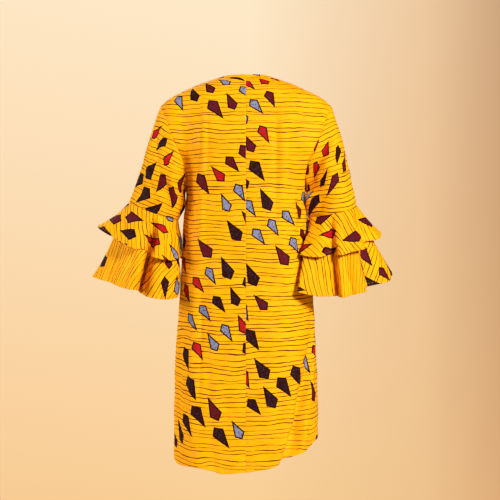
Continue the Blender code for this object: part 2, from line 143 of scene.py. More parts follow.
# Ridges and valleys at the lower flounces' edge. The angle is 0 outside, 90 behind and 180 at the body.
FLOUNCE_CENTRE = table(
    "side out back",
    (1, 0.270, 0.000),
    (-1, 0.235, 0.030),
)
LEFT_FLUTES = table(
    "angle reach drop",
    (0, 0.1140, 0.4975),
    (44, 0.0820, 0.5130),
    (72, 0.0940, 0.5240),
    (93, 0.1010, 0.5300),
    (97, 0.0260, 0.5340),
    (102, 0.0220, 0.5370),
    (107, 0.0980, 0.5450),
    (136, 0.1120, 0.5530),
    (158, 0.0930, 0.5460),
    (182, 0.0800, 0.5400),
    (206, 0.1020, 0.5430),
    (232, 0.0640, 0.5350),
    (260, 0.1060, 0.5340),
    (290, 0.0660, 0.5250),
    (318, 0.1120, 0.5120),
    (340, 0.0800, 0.5020),
)
RIGHT_FLUTES = table(
    "angle reach drop",
    (5, 0.1200, 0.5090),
    (28, 0.0660, 0.5230),
    (42, 0.0740, 0.5270),
    (58, 0.1010, 0.5330),
    (76, 0.0820, 0.5410),
    (92, 0.0940, 0.5470),
    (99, 0.0520, 0.5450),
    (106, 0.0540, 0.5440),
    (113, 0.0925, 0.5440),
    (126, 0.1130, 0.5430),
    (141, 0.1400, 0.5330),
    (153, 0.0780, 0.5350),
    (172, 0.0520, 0.5350),
    (194, 0.0500, 0.5340),
    (220, 0.0780, 0.5350),
    (246, 0.1100, 0.5340),
    (272, 0.0700, 0.5280),
    (300, 0.1140, 0.5160),
    (324, 0.0820, 0.5020),
    (346, 0.1340, 0.4850),
)
LEFT_UPPER = table(
    "angle stand_off lift",
    (0, 0.042, 0.014),
    (44, 0.022, 0.005),
    (68, 0.024, 0.003),
    (80, 0.024, 0.000),
    (87, 0.003, 0.003),
    (95, 0.003, 0.003),
    (102, 0.026, 0.000),
    (128, 0.020, 0.000),
    (140, 0.009, 0.000),
    (182, 0.005, 0.000),
    (232, 0.012, 0.000),
    (290, 0.018, 0.005),
    (330, 0.030, 0.015),
)
RIGHT_UPPER = table(
    "angle stand_off lift",
    (5, 0.018, 0.004),
    (24, 0.005, 0.009),
    (38, 0.005, 0.006),
    (50, 0.026, 0.000),
    (70, 0.016, 0.000),
    (88, 0.020, 0.000),
    (97, 0.004, 0.002),
    (105, 0.004, 0.002),
    (114, 0.021, 0.000),
    (138, 0.015, 0.000),
    (170, 0.005, 0.000),
    (218, 0.009, 0.000),
    (270, 0.016, 0.000),
    (324, 0.016, 0.002),
    (346, 0.024, 0.008),
)
FLUTES = {1: LEFT_FLUTES, -1: RIGHT_FLUTES}
UPPER_EDGES = {1: LEFT_UPPER, -1: RIGHT_UPPER}
turns = {side: len(rows["angle"]) for side, rows in FLUTES.items()}
print("ridges and valleys:", turns[1], "on the left,", turns[-1], "on the right")


# %% Curves and directions
def through(known, values, at, around=0.0):
    """Read a smooth curve through a table's rows: cubic pieces whose slopes are those of their neighbours.

    With around, the rows go round and repeat after that much.
    """
    at = np.asarray(at, dtype=float)
    if around:
        known = np.concatenate([known[-3:] - around, known, known[:3] + around])
        values = np.concatenate([values[-3:], values, values[:3]])
        at = np.mod(at, around)
    slope = np.gradient(values, known)
    row = np.clip(np.searchsorted(known, at, side="right") - 1, 0, len(known) - 2)
    width = known[row + 1] - known[row]
    t = np.clip((at - known[row]) / width, 0.0, 1.0)
    rise = values[row + 1] - values[row]
    start = width * slope[row]
    end = width * slope[row + 1]
    return values[row] + t * start + t**2 * (3 * rise - 2 * start - end) + t**3 * (start + end - 2 * rise)


def unit(vectors):
    """Scale vectors to length 1."""
    return vectors / np.maximum(np.linalg.norm(vectors, axis=-1, keepdims=True), 1e-15)


def smooth(t):
    """Rise from 0 to 1 with level ends: three times the square less twice the cube."""
    t = np.clip(t, 0.0, 1.0)
    return t * t * (3 - 2 * t)


def lengths(points, axis):
    """Give the length of way from the first row or column to each point, along that axis of the grid."""
    steps = np.linalg.norm(np.diff(points, axis=axis), axis=-1)
    way = np.cumsum(steps, axis=axis)
    return np.concatenate([np.zeros_like(np.take(way, [0], axis=axis)), way], axis=axis)


EDGE_STEP = 0.0024
NEAR_EDGE = np.array([0.0, 0.35, 0.8, 1.5, 2.5]) * EDGE_STEP
FIRST_EVEN_STEP = 0.7


def spaced(total, step):
    """Give places from 0 to 1 along a length: even steps, and closer ones near both ends."""
    start = NEAR_EDGE[-1] + step * FIRST_EVEN_STEP
    middle = np.linspace(start, total / 2, max(int(total / 2 / step), 2))
    half = np.concatenate([NEAR_EDGE, middle])
    return np.concatenate([half, total - half[-2::-1]]) / total


# %% [markdown]
# ## The torso
#
# Level cuts through the worn coat are flat ovals. An oval of fullness 2 is an ellipse, and a larger
# fullness squares it off a little, as shoulder blades and a loose cut do. A table gives the half width
# and the depth behind and in front at eighteen heights, and a smooth curve through it gives them
# anywhere.

# %% The torso's surface
def oval_across(turn, fullness):
    """Give the share of its half width that a point on an oval has, from turn 0 behind to 1 at the side."""
    return np.sin(turn * np.pi / 2) ** (2 / fullness)


def half_width(drop):
    """Give the torso's half width at a drop below the neck."""
    return through(SECTIONS["drop"], SECTIONS["half_width"], drop)


def torso(side, face, across, drop):
    """Put points on the torso: the depth is that of the oval with this width and depth at this drop."""
    deep = through(SECTIONS["drop"], SECTIONS["back" if face > 0 else "front"], drop)
    fullness = through(SECTIONS["drop"], SECTIONS["fullness"], drop)
    share = np.clip(across / half_width(drop), 0.0, 1.0)
    depth = deep * (1 - share**fullness) ** (1 / fullness)
    return np.stack([side * across, face * depth, -drop], axis=-1)


def at_shares(shares, face, across, drop):
    """Give across and drop at shares of the length of a line that lies on the torso."""
    way = lengths(torso(1, face, across, drop), 0)
    wanted = shares * way[-1]
    return np.interp(wanted, way, across), np.interp(wanted, way, drop)


print("half width 0.35 m below the neck:", round(float(half_width(0.35)), 3), "m")

# %% The armhole and the neck edge
UNDERARM_DROP = 0.2825
SHOULDER_TIP_DROP = 0.0775
BACK_NECK_DROP = 0.002
FRONT_NECK_DROP = 0.078
NECK_CURVE = 1.4
CURVE_POINTS = 200


def armhole(shares):
    """Give across and drop at shares of the armhole's length, from the shoulder tip to the underarm."""
    drop = np.linspace(SHOULDER_TIP_DROP, UNDERARM_DROP, CURVE_POINTS)
    return at_shares(shares, 1, through(ARMHOLE["drop"], ARMHOLE["across"], drop), drop)


def neck_edge(shares, face):
    """Give across and drop at shares of the neck edge's length, from the centre to the shoulder seam."""
    turn = np.linspace(0.0, 1.0, CURVE_POINTS)
    across = SECTIONS["half_width"][0] * oval_across(turn, SECTIONS["fullness"][0])
    deepest = BACK_NECK_DROP if face > 0 else FRONT_NECK_DROP
    drop = deepest * np.clip(np.cos(turn * np.pi / 2), 0.0, 1.0) ** NECK_CURVE
    return at_shares(shares, face, across, drop)


# %% The panels' grids
# Powers and shares that shape the panels' lines
NECK_SHARE = 1 / 3
CLOSER_AT_TIP = 1.3
CLOSER_AT_NECK = 2.2
ARMHOLE_REACH = 2.0
SPREAD_POWER_AT_NECK = 0.5
SPREAD_POWER_AT_SIDE = 3.0
DIP_BELOW_UNDERARM = 0.055
DIP_POWER = 3.0


def dividing_drop(column):
    """Give the drop of the row that ends at the underarm; it dips below it towards the panel's centre."""
    return UNDERARM_DROP + DIP_BELOW_UNDERARM * (1 - column**DIP_POWER)


def upper_grid(face, step, column):
    """Give across and drop from neck and shoulder down to the row that ends at the underarm.

    Lines run down from the top edge, drawn in to the armhole near the side, and into the spread of the oval
    below, which those from the neck reach sooner.
    """
    column = column[None, :]
    step = step[:, None]
    row = step ** (CLOSER_AT_NECK + (CLOSER_AT_TIP - CLOSER_AT_NECK) * column)
    along_shoulder = np.clip((column - NECK_SHARE) / (1 - NECK_SHARE), 0.0, 1.0)
    shoulder_drop = SHOULDER_TIP_DROP * along_shoulder
    neck_across, neck_drop = neck_edge(np.clip(column / NECK_SHARE, 0.0, 1.0), face)
    top_drop = np.where(column < NECK_SHARE, neck_drop, shoulder_drop)
    top_across = np.where(column < NECK_SHARE, neck_across, half_width(shoulder_drop))
    low_drop = dividing_drop(column)
    low_across = half_width(low_drop) * oval_across(column, SECTIONS["fullness"][-1])
    arm_across, arm_drop = armhole(step**CLOSER_AT_TIP)
    drawn_in = along_shoulder * (2 - along_shoulder)
    high = top_across * (1 - drawn_in * (1 - arm_across / arm_across[0]))
    low = low_across * arm_across / low_across[:, -1:]
    spread_power = SPREAD_POWER_AT_NECK + (SPREAD_POWER_AT_SIDE - SPREAD_POWER_AT_NECK) * along_shoulder
    spread_low = row**spread_power
    drop = (1 - row) * top_drop + row * low_drop
    pull = column**ARMHOLE_REACH
    drop = drop + pull * (arm_drop - (1 - row) * SHOULDER_TIP_DROP - row * UNDERARM_DROP)
    return (1 - spread_low) * high + spread_low * low, drop


def lower_grid(side, face, step, column):
    """Give across and drop from below the row that ends at the underarm down to the hem."""
    column = column[None, :]
    step = step[1:, None]
    way_round = column / 2 if face > 0 else 1 - column / 2
    hem_drop = through(HEM["share"], HEM["left" if side > 0 else "right"], way_round)
    high_drop = dividing_drop(column)
    drop = high_drop + (hem_drop - high_drop) * step
    return half_width(drop) * oval_across(column, SECTIONS["fullness"][-1]), drop


# %% Large folds and whole panels
SIDE_SEAM_HOLDS = 8
FRONT_EDGE_AT_NECK = 0.003
FRONT_EDGE_AT_HEM = 0.016


def folded(side, face, across, drop, points):
    """Push the large folds in: each is a bell across its line, growing from nothing to full depth."""
    outward = unit(points * np.array([1.0, 1.0, 0.0]))
    share = across / half_width(drop)
    push = np.zeros_like(across)
    for fold in rows_of(FOLDS, side):
        if fold["face"] != face:
            continue
        drops = np.array([fold["drop_start"], fold["drop_full"], fold["drop_end"]])
        shares = np.array([fold["share_start"], fold["share_full"], fold["share_end"]])
        line = np.interp(drop, drops, shares)
        grown = smooth((drop - drops[0]) / (drops[1] - drops[0]))
        push = push + fold["depth"] * grown * np.exp(-(((share - line) / fold["width"]) ** 2))
    push = push * (1 - share**SIDE_SEAM_HOLDS)
    return points - push[..., None] * outward


def body_panel(side, face, above, below, column):
    """Make the outer points of one back or front from the places of its rows and columns."""
    above_across, above_drop = upper_grid(face, above, column)
    below_across, below_drop = lower_grid(side, face, below, column)
    across = np.concatenate([above_across, below_across])
    drop = np.concatenate([above_drop, below_drop])
    if face < 0:
        edge = FRONT_EDGE_AT_NECK + (FRONT_EDGE_AT_HEM - FRONT_EDGE_AT_NECK) * (drop / HEM["left"][-1]) ** 2
        across = across + edge * np.clip(1 - across / half_width(drop), 0.0, 1.0) ** 2
    return folded(side, face, across, drop, torso(side, face, across, drop))


# %% Where the rows and columns lie
OVAL_POINTS = 4000


def even_columns(places):
    """Turn even places along a level oval into turns from its centre to its side."""
    turn = np.linspace(0.0, 1.0, OVAL_POINTS)
    fullness = SECTIONS["fullness"][-1]
    across = oval_across(turn, fullness)
    depth = (1 - across**fullness) ** (1 / fullness)
    oval = np.stack([across * SECTIONS["half_width"][-1], depth * SECTIONS["back"][-1]], axis=-1)
    way = lengths(oval, 0)
    return np.interp(places * way[-1], way, turn)


QUICK = 1.0
PANEL_WIDTH = 0.29
PANEL_STEP = 0.0040
COLUMN = even_columns(spaced(PANEL_WIDTH, PANEL_STEP / QUICK))
ROWS_ABOVE = 60
ROWS_BELOW = 150
NEAR_TOP = [0.0, 0.02, 0.04]
NEAR_HEM = [0.982, 0.988, 0.993, 0.997, 1.0]
ABOVE = np.unique(np.concatenate([NEAR_TOP, np.linspace(0.06, 1.0, int(ROWS_ABOVE * QUICK))]))
BELOW = np.unique(np.concatenate([np.linspace(0.0, 0.975, int(ROWS_BELOW * QUICK)), NEAR_HEM]))
print("body grid:", len(ABOVE) + len(BELOW) - 1, "rows by", len(COLUMN), "columns")


# %% [markdown]
# ## Sleeves and flounces
#
# A set-in sleeve starts as the armhole's bent ring and ends as a flat oval at the elbow. Each line down
# it is a cubic curve that leaves the armhole outwards and arrives along the arm. The flounces hang from
# the oval to a waved edge that the flute tables describe, and the upper one stands off the lower.

# %% The sleeves' surface
LEAVES_OUT_AT_TOP = 0.35
LEAVES_OUT_MORE = 0.75
LEAVES_BACK = 0.25


def sleeve_facts(side):
    """Give the centre of a sleeve's seam oval, the sleeve's axis and the oval's two half axes."""
    facts = next(rows_of(SLEEVES, side))
    axis = unit(np.array([facts["lean_out"], -facts["lean_fore"], -1.0]))
    out = unit(np.array([1.0, 0.0, facts["lean_out"]]))
    back = np.cross(out, axis)
    back = back * np.sign(back[1])
    centre = np.array([facts["out"], facts["back"], -facts["drop"]])
    return centre, axis, out * facts["half_across"], back * facts["half_deep"]


def seam_oval(side, angle):
    """Give points of the seam between sleeve and flounces, and the directions straight out of it."""
    centre, axis, out, back = sleeve_facts(side)
    cosine = np.cos(angle)[:, None]
    sine = np.sin(angle)[:, None]
    points = centre + cosine * out + sine * back
    away = unit(cosine * out / np.dot(out, out) + sine * back / np.dot(back, back))
    mirror = np.array([side, 1.0, 1.0])
    return points * mirror, away * mirror


def sleeve_angles(step):
    """Give the angle of each line down a sleeve, from the underarm round the front and top and back."""
    behind = np.pi * step**CLOSER_AT_TIP
    return np.concatenate([-behind[::-1], behind[1:]])


def sleeve(side, ring, angle, t):
    """Make a sleeve's outer points: cubic curves from the armhole's ring to the seam oval."""
    end = seam_oval(side, angle)[0]
    axis = sleeve_facts(side)[1] * np.array([side, 1.0, 1.0])
    outward = LEAVES_OUT_AT_TOP + LEAVES_OUT_MORE * np.sin(angle) ** 2
    leave = np.stack([side * outward, LEAVES_BACK * np.sin(angle), -np.ones_like(angle)], axis=-1)
    reach = np.linalg.norm(end - ring, axis=1, keepdims=True)
    t = t[:, None, None]
    points = (2 * t**3 - 3 * t**2 + 1) * ring + (t**3 - 2 * t**2 + t) * unit(leave) * reach
    return points + (3 * t**2 - 2 * t**3) * end + (t**3 - t**2) * axis * reach


elbow = seam_oval(1, np.linspace(0.0, 2 * np.pi, CURVE_POINTS))[0]
print("round the elbow's seam:", round(float(lengths(elbow, 0)[-1]), 3), "m")

# %% The flounces' surfaces
FLARE = 0.2
FOLD_EDGE = 0.7
UPPER_SHARE = 0.49
UPPER_FLARE_POWER = 1.3
LEAST_STAND_OFF = 0.0025
# The upper flounce is rolled over the lower one by the solids' wall and seam, which are wider than the
# cloth's so that they can be built
SOLID_WALL = 0.0016
SOLID_SEAM = 0.0003
SEAM_ROLL = SOLID_WALL + SOLID_SEAM
SEAM_ROLL_SHARE = 0.12


def flounce_angles(side, between):
    """Give the degrees of a flounce's lines from the body round the front, outside and back to the body."""
    known = FLUTES[side]["angle"]
    known = np.append(known, known[0] + 360.0)
    steps = np.linspace(0, len(known) - 1, (len(known) - 1) * between, endpoint=False)
    degrees = np.mod(np.interp(steps, np.arange(len(known)), known) + 180.0, 360.0)
    degrees = np.sort(degrees) - 180.0
    return np.concatenate([[-180.0], degrees[degrees > -179.0], [180.0]])


def waved(rows, name, degrees):
    """Read a column round a flounce, between a smooth curve and straight lines, for clear folds."""
    soft = through(rows["angle"], rows[name], degrees, around=360.0)
    straight = np.interp(degrees, rows["angle"], rows[name], period=360.0)
    return soft + FOLD_EDGE * (straight - soft)


def lower_flounce(side, degrees, down):
    """Make a lower flounce: lines from the seam oval to its waved edge, flaring more lower down."""
    angle = np.radians(degrees)
    flutes = FLUTES[side]
    centre = next(rows_of(FLOUNCE_CENTRE, side))
    top = seam_oval(side, angle)[0]
    reach = waved(flutes, "reach", degrees)
    drop = waved(flutes, "drop", degrees)
    out = centre["out"] + reach * np.cos(angle)
    back = centre["back"] + reach * np.sin(angle)
    edge = np.stack([side * out, back, -drop], axis=-1)
    down = down[:, None]
    spread = down * (1 - FLARE + FLARE * down)
    level = (top + (edge - top) * spread[..., None])[..., :2]
    height = top[:, 2] + (edge[:, 2] - top[:, 2]) * down
    return np.concatenate([level, height[..., None]], axis=-1)


def upper_flounce(side, degrees, down):
    """Make an upper flounce: the top part of the lower one, moved out by its stand off and lifted."""
    edge = UPPER_EDGES[side]
    points = lower_flounce(side, degrees, down * UPPER_SHARE)
    away = seam_oval(side, np.radians(degrees))[1]
    stand_off = np.maximum(waved(edge, "stand_off", degrees), LEAST_STAND_OFF)
    lift = waved(edge, "lift", degrees)
    down = down[:, None]
    out = SEAM_ROLL * smooth(down / SEAM_ROLL_SHARE) + stand_off * down**UPPER_FLARE_POWER
    points = points + out[..., None] * away
    points[..., 2] += lift * down**2
    return points


# %% [markdown]
# ## Creases and unevenness
#
# Cotton holds creases, but no two are alike. Each crease below is a soft trough or ridge along a line,
# with its own length, depth and width. A crease fades out at both ends and before a seam. Under them
# lies a slow unevenness, and along the seams there are small puckers, where thread draws the cloth
# together.

# %% Unevenness
LATTICE_CELLS = 16


def uneven(points, size, seed):
    """Give each point a value from -1 to 1: random lattice values, blended smoothly over the size."""
    cells = LATTICE_CELLS
    lattice = np.random.default_rng(seed).uniform(-1.0, 1.0, (cells, cells, cells))
    place = points / size
    low = np.floor(place).astype(int)
    part = smooth(place - low)
    value = np.zeros(points.shape[:-1])
    for corner in np.ndindex(2, 2, 2):
        index = np.mod(low + np.array(corner), cells)
        weight = np.prod(np.where(np.array(corner) == 1, part, 1 - part), axis=-1)
        value = value + weight * lattice[index[..., 0], index[..., 1], index[..., 2]]
    return value


# %% Creases
CREASE_FADES_OVER = 0.3


def creases(known, side, place, drop):
    """Add up one side's creases on a surface: a bell across each line, fading towards the line's ends."""
    push = np.zeros_like(place)
    for one in rows_of(known, side):
        along = np.array([one["end"] - one["start"], one["end_drop"] - one["start_drop"]])
        length = np.linalg.norm(along)
        along = along / length
        from_start = (place - one["start"]) * along[0] + (drop - one["start_drop"]) * along[1]
        t = from_start / length
        bent = one["bend"] * length * np.clip(t * (1 - t), 0.0, 1.0)
        aside = (drop - one["start_drop"]) * along[0] - (place - one["start"]) * along[1] - bent
        ends = smooth(t / CREASE_FADES_OVER) * smooth((1 - t) / CREASE_FADES_OVER)
        push = push - one["depth"] * ends * np.exp(-((aside / one["width"]) ** 2))
    return push


# Creases of the body, placed by metres round from the centre back and by drop. A minus depth is a ridge.
CREASE_NAMES = "side start start_drop end end_drop depth width bend"
BODY_CREASES = table(
    CREASE_NAMES,
    (1, 0.109, 0.010, 0.112, 0.520, -0.0062, 0.007, 0.02),
    (1, 0.112, 0.440, 0.122, 0.900, 0.0060, 0.008, 0.04),
    (1, 0.128, 0.500, 0.140, 0.940, -0.0044, 0.012, -0.03),
    (1, 0.176, 0.290, 0.115, 0.350, 0.0030, 0.008, 0.10),
    (1, 0.180, 0.310, 0.128, 0.400, 0.0026, 0.009, 0.10),
    (1, 0.060, 0.520, 0.050, 0.980, 0.0040, 0.014, 0.05),
    (1, 0.022, 0.240, 0.070, 0.275, 0.0012, 0.008, 0.10),
    (1, 0.190, 0.560, 0.205, 0.990, 0.0046, 0.018, 0.03),
    (-1, 0.076, 0.060, 0.070, 0.400, 0.0036, 0.009, -0.02),
    (-1, 0.096, 0.100, 0.092, 0.330, -0.0026, 0.012, -0.04),
    (-1, 0.165, 0.110, 0.110, 0.130, 0.0045, 0.008, 0.10),
    (-1, 0.128, 0.160, 0.124, 0.470, -0.0044, 0.012, 0.04),
    (-1, 0.172, 0.300, 0.104, 0.340, 0.0030, 0.008, -0.10),
    (-1, 0.178, 0.320, 0.120, 0.400, 0.0028, 0.009, -0.10),
    (-1, 0.205, 0.540, 0.120, 0.960, 0.0070, 0.010, -0.10),
    (-1, 0.215, 0.620, 0.150, 0.980, -0.0050, 0.011, -0.08),
    (-1, 0.066, 0.500, 0.060, 0.980, -0.0022, 0.018, 0.05),
    (-1, 0.018, 0.440, 0.060, 0.470, 0.0012, 0.007, 0.10),
    (1, 0.330, 0.250, 0.340, 0.620, 0.0048, 0.012, 0.04),
    (1, 0.385, 0.330, 0.370, 0.960, -0.0050, 0.015, -0.03),
    (1, 0.300, 0.330, 0.350, 0.400, 0.0030, 0.009, 0.10),
    (1, 0.296, 0.350, 0.330, 0.440, 0.0026, 0.010, 0.10),
    (-1, 0.336, 0.260, 0.350, 0.600, 0.0052, 0.012, -0.04),
    (-1, 0.400, 0.380, 0.380, 0.950, -0.0046, 0.015, 0.03),
    (-1, 0.298, 0.330, 0.352, 0.410, 0.0030, 0.009, -0.10),
    (-1, 0.294, 0.360, 0.334, 0.450, 0.0024, 0.010, -0.10),
)

# Creases of a sleeve, by metres round from its top line, behind being plus, and metres down from the top
SLEEVE_CREASES = table(
    CREASE_NAMES,
    (1, 0.030, 0.020, 0.060, 0.235, 0.0040, 0.010, 0.05),
    (1, 0.060, 0.040, 0.094, 0.215, -0.0030, 0.010, 0.04),
    (1, 0.160, 0.030, 0.110, 0.230, 0.0065, 0.013, 0.10),
    (1, 0.170, 0.060, 0.070, 0.160, 0.0034, 0.009, 0.10),
    (1, 0.040, 0.020, 0.140, 0.100, 0.0042, 0.010, -0.08),
    (1, 0.030, 0.070, 0.130, 0.150, -0.0034, 0.010, -0.06),
    (1, -0.060, 0.030, -0.090, 0.220, 0.0040, 0.011, -0.05),
    (1, -0.150, 0.070, -0.100, 0.190, 0.0040, 0.010, -0.10),
    (1, -0.010, 0.060, -0.020, 0.240, 0.0022, 0.012, 0.03),
    (-1, 0.175, 0.045, 0.060, 0.085, 0.0060, 0.009, -0.12),
    (-1, 0.165, 0.075, 0.080, 0.150, 0.0040, 0.010, -0.12),
    (-1, 0.140, 0.090, 0.100, 0.260, 0.0070, 0.014, -0.08),
    (-1, 0.034, 0.060, 0.046, 0.235, 0.0028, 0.011, 0.04),
    (-1, -0.060, 0.030, -0.080, 0.220, 0.0040, 0.011, 0.05),
    (-1, -0.150, 0.070, -0.100, 0.200, 0.0040, 0.010, 0.10),
)
print("creases:", len(BODY_CREASES["side"]), "on the body,", len(SLEEVE_CREASES["side"]), "on the sleeves")

# %% Along the seams
GROOVE_DEPTH = 0.0007
GROOVE_WIDTH = 0.0018
PUCKER_HEIGHT = 0.0011
PUCKER_SIZE = 0.0105
PUCKER_REACH = 0.010


def seam_effect(points, edge_distance):
    """Draw the cloth in along seams: a narrow groove, and puckers that die away within two centimetres."""
    groove = -GROOVE_DEPTH * np.exp(-((edge_distance / GROOVE_WIDTH) ** 2))
    pucker = PUCKER_HEIGHT * uneven(points, PUCKER_SIZE, 5) * np.exp(-((edge_distance / PUCKER_REACH) ** 2))
    return groove + pucker


def nearest(points, line):
    """Give each point's distance to the nearest point of a line, one row of the grid at a time."""
    found = [np.linalg.norm(row[:, None, :] - line[None, :, :], axis=-1).min(axis=1) for row in points]
    return np.array(found)


# %% [markdown]
# ## From a grid to a piece of cloth
#
# A piece is a grid of outer points and the same grid moved in by the cloth's thickness, closed along
# its edges. At hems the cloth is turned up, so there it is two layers thick. Every corner also keeps
# its place in the flat cut, in metres, and the print is laid on by that place. So the stripes turn with
# the cut, as they do on the real thing.

# %% The way out of the cloth
# Points are sewn together when they agree to a thousandth of a millimetre
SAME_DIGITS = 6


def grid_normals(points, turned, closed):
    """Give the way out of the cloth at each point, square to the grid and longer on larger faces."""
    if closed:
        wide = np.concatenate([points[:, -2:-1], points, points[:, 1:2]], axis=1)
        across = np.gradient(wide, axis=1)[:, 1:-1]
    else:
        across = np.gradient(points, axis=1)
    return turned * np.cross(across, np.gradient(points, axis=0))


def share_normals(pieces):
    """Give each point its way out of the cloth, and points that are sewn together the mean of their own."""
    for piece in pieces:
        piece["normals"] = grid_normals(piece["points"], piece["turned"], piece["closed"])
    points = np.concatenate([piece["points"].reshape(-1, 3) for piece in pieces])
    normals = np.concatenate([piece["normals"].reshape(-1, 3) for piece in pieces])
    places, same = np.unique(np.round(points, SAME_DIGITS), axis=0, return_inverse=True)
    total = np.zeros_like(places)
    np.add.at(total, same.ravel(), normals)
    shared = unit(total)[same.ravel()]
    first = 0
    for piece in pieces:
        count = piece["points"].size // 3
        piece["normals"] = shared[first:first + count].reshape(piece["points"].shape)
        first += count


# %% Edges
SEWN_GAP = 0.00004


def step_in(edge, inside):
    """Give the move that takes an edge in by half the gap of a sewn seam, square to the edge."""
    along = unit(np.gradient(edge, axis=0))
    toward = inside - edge
    toward = toward - along * np.sum(toward * along, axis=-1, keepdims=True)
    return unit(toward) * SEWN_GAP / 2


def cut_back(points, closed):
    """Cut a piece back by half the gap of a sewn seam on every edge."""
    cut = points.copy()
    cut[0] += step_in(points[0], points[1])
    cut[-1] += step_in(points[-1], points[-2])
    if not closed:
        cut[:, 0] += step_in(points[:, 0], points[:, 1])
        cut[:, -1] += step_in(points[:, -1], points[:, -2])
    return cut


# %% Shells
# The faces of a shell, strip by strip: for each corner the layer (0 outside, 1 inside), rows and columns
LOW = slice(None, -1)
HIGH = slice(1, None)
STRIPS = (
    ((0, LOW, LOW), (0, LOW, HIGH), (0, HIGH, HIGH), (0, HIGH, LOW)),
    ((1, LOW, LOW), (1, HIGH, LOW), (1, HIGH, HIGH), (1, LOW, HIGH)),
    ((0, 0, HIGH), (0, 0, LOW), (1, 0, LOW), (1, 0, HIGH)),
    ((0, -1, LOW), (0, -1, HIGH), (1, -1, HIGH), (1, -1, LOW)),
)
SIDE_STRIPS = (
    ((0, LOW, 0), (0, HIGH, 0), (1, HIGH, 0), (1, LOW, 0)),
    ((0, HIGH, -1), (0, LOW, -1), (1, LOW, -1), (1, HIGH, -1)),
)


def added(name, data):
    """Put a mesh, light or camera into the scene as an object."""
    thing = bpy.data.objects.new(name, data)
    bpy.context.scene.collection.objects.link(thing)
    return thing


def wall(name, outer, inner, flat, turned, closed):
    """Make a closed shell of two grids. Closed means that the last column is the first one again."""
    rows, columns = outer.shape[:2]
    kept = columns - 1 if closed else columns
    number = np.arange(rows * kept).reshape(rows, kept)
    if closed:
        number = np.concatenate([number, number[:, :1]], axis=1)
    layers = (number, number + rows * kept)
    place = np.arange(rows * columns).reshape(rows, columns)
    faces = []
    corners = []
    for strip in STRIPS if closed else STRIPS + SIDE_STRIPS:
        faces.append(np.stack([layers[layer][r, c] for layer, r, c in strip], axis=-1).reshape(-1, 4))
        corners.append(np.stack([place[r, c] for _, r, c in strip], axis=-1).reshape(-1, 4))
    faces = np.concatenate(faces)
    corners = np.concatenate(corners)
    if turned < 0:
        faces = faces[:, ::-1]
        corners = corners[:, ::-1]
    points = np.concatenate([outer[:, :kept].reshape(-1, 3), inner[:, :kept].reshape(-1, 3)])
    mesh = bpy.data.meshes.new(name)
    mesh.vertices.add(len(points))
    mesh.vertices.foreach_set("co", points.ravel())
    mesh.loops.add(faces.size)
    mesh.loops.foreach_set("vertex_index", faces.ravel())
    mesh.polygons.add(len(faces))
    mesh.polygons.foreach_set("loop_start", np.arange(0, faces.size, 4))
    mesh.update(calc_edges=True)
    mesh.shade_smooth()
    layer = mesh.uv_layers.new(name="flat")
    layer.data.foreach_set("uv", flat.reshape(-1, 2)[corners.ravel()].ravel())
    mesh.validate()
    return added(name, mesh)


# %% Leans, swellings and hollows
# Where the arms' inner sides lie nearer to the body than the plain forms: a soft push around a place
LEANS = table(
    "side out back drop_low drop_full drop_end push_out push_back width",
    (1, 0.180, 0.020, 0.350, 0.410, 0.720, -0.0135, 0.000, 0.060),
    (1, 0.158, 0.040, 0.275, 0.330, 0.385, -0.0138, 0.002, 0.045),
    (1, 0.175, 0.010, 0.435, 0.500, 0.760, -0.0080, 0.000, 0.050),
    (1, 0.172, 0.050, 0.440, 0.500, 0.760, -0.0100, 0.000, 0.022),
    (1, 0.165, 0.047, 0.285, 0.335, 0.385, -0.0060, 0.000, 0.025),
    (-1, 0.165, 0.050, 0.283, 0.310, 0.380, -0.0048, 0.000, 0.022),
    (-1, 0.150, 0.070, 0.345, 0.430, 0.700, -0.0110, 0.0125, 0.050),
    (-1, 0.160, 0.045, 0.283, 0.302, 0.450, -0.0102, 0.0062, 0.040),
    (-1, 0.165, -0.045, 0.288, 0.318, 0.500, -0.0125, -0.0040, 0.032),
)
SIDE_BULGE = 0.004
BULGE_DROP = 0.36
BULGE_SPREAD = 0.075
HOLLOW_STARTS_OVER = 0.04


def leaned(points, side):
    """Push points of a sleeve or flounce towards the body: a bell across and a slow rise down."""
    moved = points.copy()
    drop = -points[..., 2]
    out = side * points[..., 0]
    for row in rows_of(LEANS, side):
        grown = smooth((drop - row["drop_low"]) / (row["drop_full"] - row["drop_low"]))
        grown = grown * (1 - smooth((drop - row["drop_full"]) / (row["drop_end"] - row["drop_full"])))
        away = np.hypot(np.maximum(out - row["out"], 0.0), points[..., 1] - row["back"])
        bell = grown * np.exp(-((away / row["width"]) ** 2))
        moved[..., 0] += side * row["push_out"] * bell
        moved[..., 1] += row["push_back"] * bell
    return moved


def bulged(points, side):
    """Let the body's sides swell a little under the arms, the left more than the right."""
    drop = -points[..., 2]
    share = np.abs(points[..., 0]) / half_width(drop)
    most = SIDE_BULGE if side > 0 else SIDE_BULGE / 2
    swell = most * smooth(share**4) * np.exp(-(((drop - BULGE_DROP) / BULGE_SPREAD) ** 2))
    return points + swell[..., None] * np.array([side, 0.0, 0.0])


# Where back and sleeve sink together on both sides of the armhole, by metres across and by drop
HOLLOWS = table(
    CREASE_NAMES,
    (1, 0.148, 0.020, 0.144, 0.500, 0.0200, 0.024, 0.00),
    (1, 0.165, 0.230, 0.215, 0.130, 0.0060, 0.012, 0.00),
    (-1, 0.138, 0.300, 0.215, 0.120, 0.0110, 0.013, 0.10),
    (-1, 0.168, 0.200, 0.160, 0.400, 0.0100, 0.022, 0.00),
)


